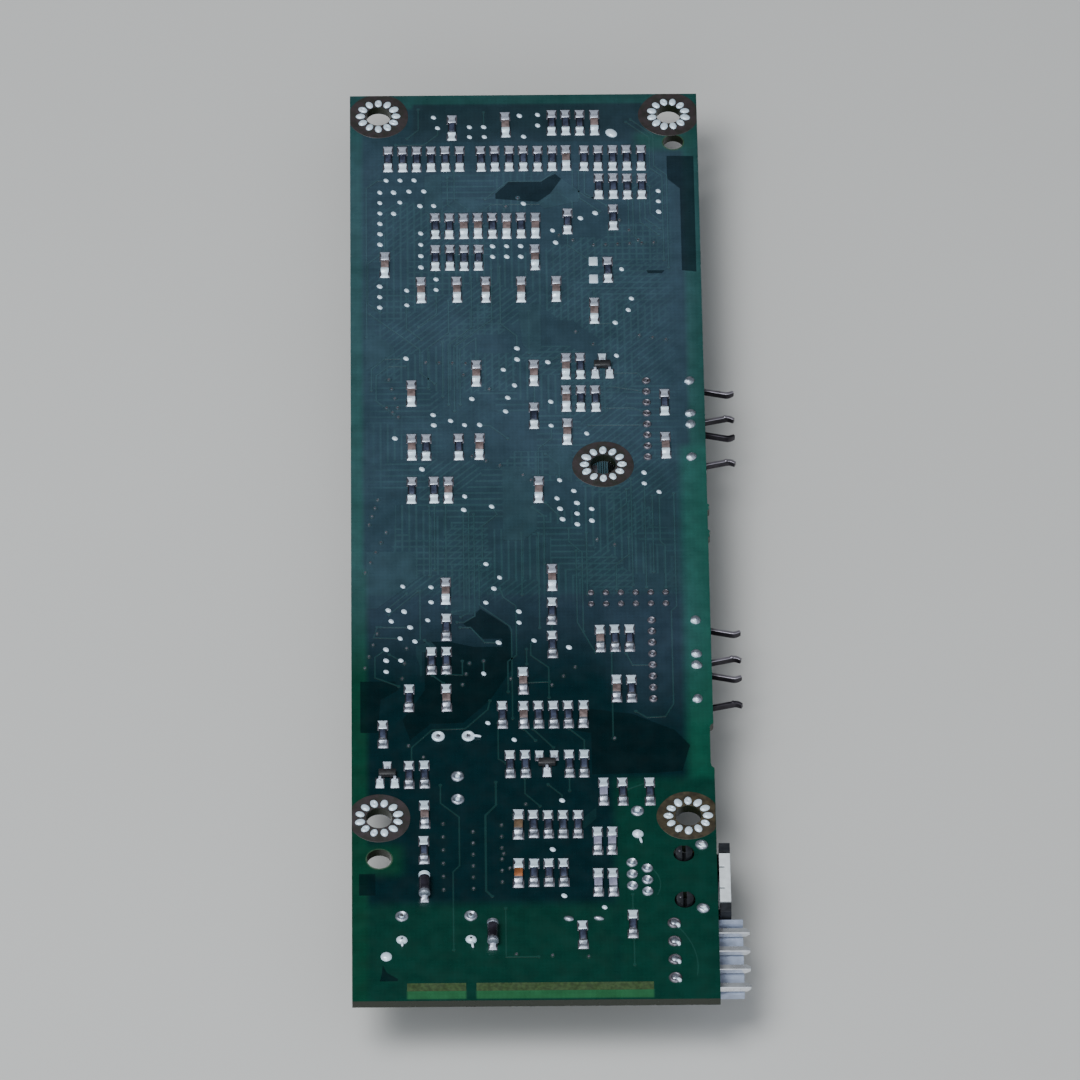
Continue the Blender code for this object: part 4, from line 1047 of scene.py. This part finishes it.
def build_power_header():
    refined("power_wafer", NYLON, 0.16)
    for number, (x, y) in enumerate(POWER_PINS, start=1):
        node = f"power_pin_{number}"
        tip_x = (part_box(node)[1].x - BOARD_LOW.x) / MM
        path = rounded([at(x, y, TAIL_TOP), at(x, y, POWER_Z), at(tip_x - 0.7, y, POWER_Z)], 1.0, 8)
        path.append(at(tip_x, y, POWER_Z))
        build_pin(f"power_blade_{number}", node, path, 1.14, 0.5, 0.8, 0.1)


def build_ports():
    refined("port_block_upper", BLACK, 0.2)
    refined("port_block_lower", BLACK, 0.2)
    for number, (x, y) in enumerate(SIGNAL_PINS, start=1):
        path = rounded([at(x, y, TAIL_TOP), at(x, y, SIGNAL_Z), at(55.1, y, SIGNAL_Z)], 0.5)
        path.append(at(55.6, y, SIGNAL_Z))
        build_pin(f"signal_wire_{number}", f"signal_pin_{number}", path, 0.5, 0.5, 0.7, 0.12)


def build_leaves():
    """Sheet springs in pairs, closing towards each other and flaring at the tip."""
    for number, (x, y) in enumerate(LEAF_LEGS, start=1):
        way = 1 if number % 2 else -1
        corners = [(x - 0.45, 0.0), (60.2, 0.0), (65.1, 1.15), (66.02, 0.62)]
        path = rounded([at(px, y + way * lean, LEAF_Z) for px, lean in corners], 1.1, 8)
        leaf = Shape(f"spring_leaf_{number}", SPRING, SPRING_PAINTED_SHADE)
        leaf.add(bar(path, (0, 0, 1), 1.2, 0.56, tip=0.86, chamfer=0.12))
        leaf.add(bar([at(x, y, 11.0), at(x, y, TOP + 0.2), at(x, y, TOP + 0.45)], (1, 0, 0), 0.9, 0.56, tip=0.6))
        if way < 0:
            leaf.add(turned(64.5, y + way * 1.01, [(0.34, 0.0), (0.3, 0.1), (0.18, 0.17), (0.02, 0.19)], 14, 11.46))
        made = leaf.build("spring_steel", f"leaf_{number}", (f"grip_leaf_{number}",))
        # Painted shade: the side faces, and all of leaves 3 and 8, take the dark copy of the spring metal
        for face in made.data.polygons:
            if abs(face.normal.z) < 0.6 or number in (3, 8):
                face.material_index = 1


def build_pin_header():
    body = Shape("header_strip", BLACK, TINNED)
    half = 0.32
    for x in HEADER_X:
        body.add(block((x - PITCH / 2 + 0.01, HEADER_Y - PITCH, 9.2),
                       (x + PITCH / 2 - 0.01, HEADER_Y + PITCH, 11.7), 0.28))
    for x, y in HEADER_PINS:
        for low, high, chamfer in ((3.2, 9.4, 0.14), (11.5, TAIL_TOP, 0.1)):
            body.add(block((x - half, y - half, low), (x + half, y + half, high), chamfer), 1)
    body.build("black_plastic", stands_for=("pin_header",))


# ---------------------------------------------------------------- component side

def centred(x, y, hx, hy, low, high, chamfer, draft=0.0):
    """A block centred on a board place, from one height to another."""
    return block((x - hx, y - hy, low), (x + hx, y + hy, high), chamfer, draft)


def build_radial(number, x, y, leads):
    can = Shape(f"radial_can_{number}", SLEEVE, ALUMINIUM, SLEEVE_MARK, TINNED)
    r = 5.0
    can.add(hung(x, y, [(0.5, 11.75), (r - 1.2, 11.75), (r - 0.25, 11.7), (r - 0.03, 11.5), (r, 11.2), (r, 10.1),
                        (r - 0.5, 9.75), (r - 0.5, 9.65), (r, 9.3), (r, 0.55), (r - 0.12, 0.35), (r - 0.7, 0.28)]))
    can.add(hung(x, y, [(r - 0.65, 0.40), (r - 0.75, 0.22), (r - 1.0, 0.12), (0.05, 0.12)]), 1)
    verts, faces = hung(x, y, [(r + 0.02, 9.2), (r + 0.02, 0.6)])
    can.add((verts, [face for face in faces[:CAN_SIDES] if max(face[:2]) % CAN_SIDES in range(3, 10)]), 2)
    for turn in range(3):
        angle = math.pi * turn / 3
        dx, dy = 2.6 * math.cos(angle), 2.6 * math.sin(angle)
        can.add(bar([at(x + k * dx, y + k * dy, 0.1) for k in (-1, 0, 1)], (dy, dx, 0.0), 0.3, 0.06), 1)
    for lx, ly in leads:
        can.add(bar([at(lx, ly, z) for z in (11.5, TOP, TAIL_TOP)], (1, 0, 0), 0.6, 0.6, tip=0.6, chamfer=0.29), 3)
    can.build("can_sleeve", stands_for=(f"radial_capacitor_{number}",))


def build_can(number, x, y, half, height):
    """A surface-mounted aluminium can on a black plate, with a dark mark on its end."""
    top = 11.9
    low = BODIES_TOP - height
    r = half - 0.25
    can = Shape(f"can_assembly_{number}", ALUMINIUM, BLACK, TINNED, SLEEVE)
    can.add(centred(x, y, half, half, top - 1.3, top - 0.1, 0.45), 1)
    can.add(hung(x, y, [(r - 0.05, top - 1.2), (r, top - 1.5), (r, top - 2.4), (r - 0.45, top - 2.8), (r, top - 3.2),
                        (r, low + 0.45), (r - 0.12, low + 0.16), (r - 0.5, low + 0.02), (0.05, low + 0.02)]))
    verts, faces = hung(x, y, [(r - 0.55, low + 0.02), (r - 0.56, low), (0.05, low)])
    mark = [face for face in faces if face[0] % CAN_SIDES < 15 and face[1] % CAN_SIDES < 16]
    can.add((verts, mark), 3)
    for side in (-1, 1):
        can.add(block((x + side * (half - 0.9), y - 0.35, top - 0.15), (x + side * (half + 0.35), y + 0.35, top + 0.05),
                      0.04), 2)
    can.build("aluminium_can", stands_for=(f"can_capacitor_{number}",))


def gull_lead(shape, x, y, dx, dy, start, reach, body_z, width):
    """One bent foot from a chip's side at distance start, out by reach and up to the board."""
    foot = UNDER - 0.12
    path = [at(x + dx * out, y + dy * out, z) for out, z in (
        (start - 0.15, body_z), (start + reach * 0.32, body_z), (start + reach * 0.5, foot), (start + reach, foot))]
    shape.add(bar(rounded(path, 0.22, 3), (abs(dy), abs(dx), 0), width, 0.15, chamfer=0.1), 1)


def build_chip_body(node, x, y, size, depth, leads, reach, pitch, width):
    """A moulded chip with a mark for its first lead, and rows of bent leads.

    leads is how many along each X side and along each Y side.
    """
    chip = Shape(node + "_package", EPOXY, TERMINAL)
    hx, hy = size[0] / 2, size[1] / 2
    low, high = BODIES_TOP - depth, BODIES_TOP + 0.12
    middle = (low + high) / 2 + 0.1
    chip.add(centred(x, y, hx, hy, middle, high, 0.1))
    chip.add(centred(x, y, hx, hy, low, middle + 0.15, 0.12, 0.12))
    chip.add(hung(x - hx + 1.1, y - hy + 1.1, [(0.55, low + 0.05), (0.5, low - 0.005), (0.42, low - 0.005),
                                              (0.38, low + 0.03), (0.02, low + 0.03)], 24))
    for count, along, out, start in ((leads[0], (0, 1), (1, 0), hx), (leads[1], (1, 0), (0, 1), hy)):
        for i in range(count):
            offset = (i - (count - 1) / 2) * pitch
            for side in (-1, 1):
                gull_lead(chip, x + along[0] * offset, y + along[1] * offset, side * out[0], side * out[1],
                          start, reach, middle + 0.05, width)
    chip.build("chip_epoxy", stands_for=(node,))


def build_regulator():
    power = Shape("regulator_package", EPOXY, TERMINAL)
    power.add(block((26.9, 153.5, 7.1), (37.1, 162.5, 11.75), 0.18, draft=0.15))
    power.add(block((27.1, 151.4, 10.6), (36.9, 154.0, 11.9), 0.12), 1)
    for i in (-1, 0, 1):
        x = 32 + i * PITCH
        path = [at(x, y, z) for y, z in ((162.3, 9.6), (163.3, 9.6), (163.9, 11.75), (164.9, 11.75))]
        power.add(bar(rounded(path, 0.4, 4), (1, 0, 0), 0.9, 0.45), 1)
    power.build("chip_epoxy", stands_for=("regulator",))


def build_crystal():
    can = Shape("crystal_can", ALUMINIUM, BLACK)
    can.add(block((8.15, 92.3, 10.8), (12.85, 103.7, 11.9), 0.25), 1)
    can.add(block((8.35, 92.6, 7.55), (12.65, 103.4, 11.0), 0.7))
    can.add(block((8.05, 92.4, 10.3), (12.95, 103.6, 10.8), 0.2))
    can.build("aluminium_can", stands_for=("crystal",))


def build_inductor(x, y):
    coil = Shape("inductor_assembly", FERRITE, COPPER_WIRE, TERMINAL)
    coil.add(hung(x, y, [(5.4, 11.8), (5.9, 11.6), (5.9, 10.7), (4.2, 10.5), (4.2, 7.2), (5.9, 7.0), (5.9, 5.8),
                         (5.7, 5.5), (0.05, 5.5)], 64))
    for k in range(8):
        z = 10.3 - k * 0.42
        coil.add(hung(x, y, [(4.1, z + 0.2), (5.0, z + 0.16), (5.25, z), (5.0, z - 0.16), (4.1, z - 0.2)], 64), 1)
    for side in (-1, 1):
        coil.add(block((x + side * 4.6, y - 1.4, 10.9), (x + side * 6.4, y + 1.4, 11.95), 0.1), 2)
    coil.build("ferrite", stands_for=("power_inductor",))


# Printed outlines of the component side: centre, and half its length each way
OUTLINES = ((27, 98, 9.2, 12.2), (24, 62, 6.2, 9.8), (40, 30, 3.9, 5.8), (33, 134, 6.2, 6.0), (11, 27, 6.0, 6.0),
            (33, 174, 4.8, 4.8), (31.5, 189, 7.0, 6.6), (10.5, 98, 3.0, 6.8))

# Sets of like tracks of the component side: how many, then x, y and their steps for each place
UNDER_TRACKS = (
    (14, (14.5, 72.0, 0.75, 0), (14.5, 78.0, 0.75, 0.35), (19.0, 82.5, 0.75, 0.35), (19.0, 86.0, 0.75, 0)),
    (9, (31.0, 66.0, 0, 2.2), (41.0, 66.0, -0.4, 2.2), (44.0, 69.0, -0.4, 2.2), (44.0, 108.0, -0.4, 0)),
    (7, (22.0, 109.5, 2.6, 0), (22.0, 116.0, 2.6, 1), (25.0, 119.0, 2.6, 1), (25.0, 127.0, 2.6, 0)),
    (6, (43.5, 20.0, 0, 2.4), (50.0, 20.0, 0, 2.4), (52.0, 22.0, 0.7, 2.4), (52.0, 60.0, 0.7, 0)),
)


def build_component_side():
    build_radial(1, 17.15, 149.9, RADIAL_LEADS[:2])
    build_radial(2, 17.8, 161.4, RADIAL_LEADS[2:])
    refined("film_capacitor", FILM_CASE, 0.45, 3)
    refined("line_choke", FERRITE, 0.35, 3)
    build_can(1, 11.0, 27.0, 5.1, 11.6)
    build_can(2, 33.0, 174.0, 4.1, 10.2)
    build_chip_body("controller_chip", 27.0, 98.0, (14.0, 20.0), 2.7, (24, 16), 1.6, 0.8, 0.34)
    build_chip_body("memory_chip", 24.0, 62.0, (7.6, 18.0), 2.5, (14, 0), 1.6, 1.27, 0.42)
    build_chip_body("driver_chip_1", 40.0, 30.0, (4.0, 10.0), 1.8, (7, 0), 1.2, 1.27, 0.42)
    build_chip_body("driver_chip_2", 33.0, 134.0, (7.6, 10.4), 2.5, (8, 0), 1.6, 1.27, 0.42)
    build_regulator()
    build_crystal()
    build_inductor(31.5, 189.0)

    marks = Shape("component_outlines", SILK)
    for x, y, hx, hy in OUTLINES:
        corners = [(x + hx * u, y + hy * v) for u, v in ((-1, -1), (1, -1), (1, 1), (-1, 1), (-1, -1))]
        for ends in zip(corners, corners[1:]):
            marks.add(strip(ends, 0.18, 0.02, base=UNDER, up=-1), flip=True)
    marks.build("white_plastic")
    lines = Shape("under_tracks", TRACK)
    for count, *places in UNDER_TRACKS:
        for i in range(count):
            points = [(x + i * dx, y + i * dy) for x, y, dx, dy in places]
            lines.add(strip(points, TRACK_WIDTH, base=UNDER, up=-1), flip=True)
    lines.build("board_mask")


# ---------------------------------------------------------------- light, floor, camera

def area_light(name, place, size, power, colour):
    """A square lamp aimed at the middle of the board."""
    data = bpy.data.lights.new(name, "AREA")
    data.energy = power
    data.color = colour
    data.size = size
    obj = bpy.data.objects.new(name, data)
    bpy.context.scene.collection.objects.link(obj)
    obj.location = place
    obj.rotation_euler = (-Vector(place)).to_track_quat("-Z", "Y").to_euler()
    obj.visible_camera = False


def build_stage():
    bm = bmesh.new()
    bmesh.ops.create_grid(bm, x_segments=1, y_segments=1, size=6.0)
    mat, tree, shader = node_graph("floor_pale")
    feed(tree, shader, {"Base Color": mix(tree, noise(tree, 12.0, 3.0), (0.56, 0.55, 0.53), (0.60, 0.59, 0.57)),
                        "Roughness": 0.75})
    floor = bpy.data.objects.new("floor", mesh_from(bm, "floor", mat))
    bpy.context.scene.collection.objects.link(floor)
    floor.location = (0, 0, -0.0002)

    world = bpy.data.worlds.new("studio")
    bpy.context.scene.world = world
    world.use_nodes = True
    tree = world.node_tree
    toward_far = split_xyz(tree, add_node(tree, "ShaderNodeTexCoord").outputs["Generated"])["Y"]
    feed(tree, tree.nodes["Background"], {
        "Strength": ramp(tree, toward_far, -0.35, 0.45, 0.75, 0.03), "Color": (0.86, 0.93, 1.0, 1.0)})
    area_light("overhead", (-0.35, -0.25, 0.95), 0.55, 9.0, (0.95, 0.98, 1.0))
    area_light("near_low", (-0.15, -1.3, 0.55), 0.8, 7.0, (0.90, 0.95, 1.0))


AZIMUTH, ELEVATION, ROLL = math.radians(-0.72), math.radians(47.98), math.radians(0.076)
TARGET = Vector((-0.00083, -0.00155, 0.0136))
DISTANCE = 2.227
LENS = 434.8


def build_camera():
    """A long lens from above the near short edge, low enough to see the edge connectors' pins."""
    back = Vector((math.sin(AZIMUTH) * math.cos(ELEVATION), -math.cos(AZIMUTH) * math.cos(ELEVATION),
                   math.sin(ELEVATION)))
    data = bpy.data.cameras.new("camera")
    data.sensor_width = 36.0
    data.lens = LENS
    data.clip_start = 0.05
    data.clip_end = 20.0
    camera = bpy.data.objects.new("camera", data)
    bpy.context.scene.collection.objects.link(camera)
    camera.location = TARGET + back * DISTANCE
    turn = (-back).to_track_quat("-Z", "Y").to_matrix() @ Matrix.Rotation(ROLL, 3, "Z")
    camera.rotation_euler = turn.to_euler()
    bpy.context.scene.camera = camera


build_board()
build_rings()
build_test_points()
build_lead_joints()
build_chips()
build_tracks()
build_jack()
build_power_header()
build_ports()
build_leaves()
build_pin_header()
build_component_side()
build_stage()
build_camera()
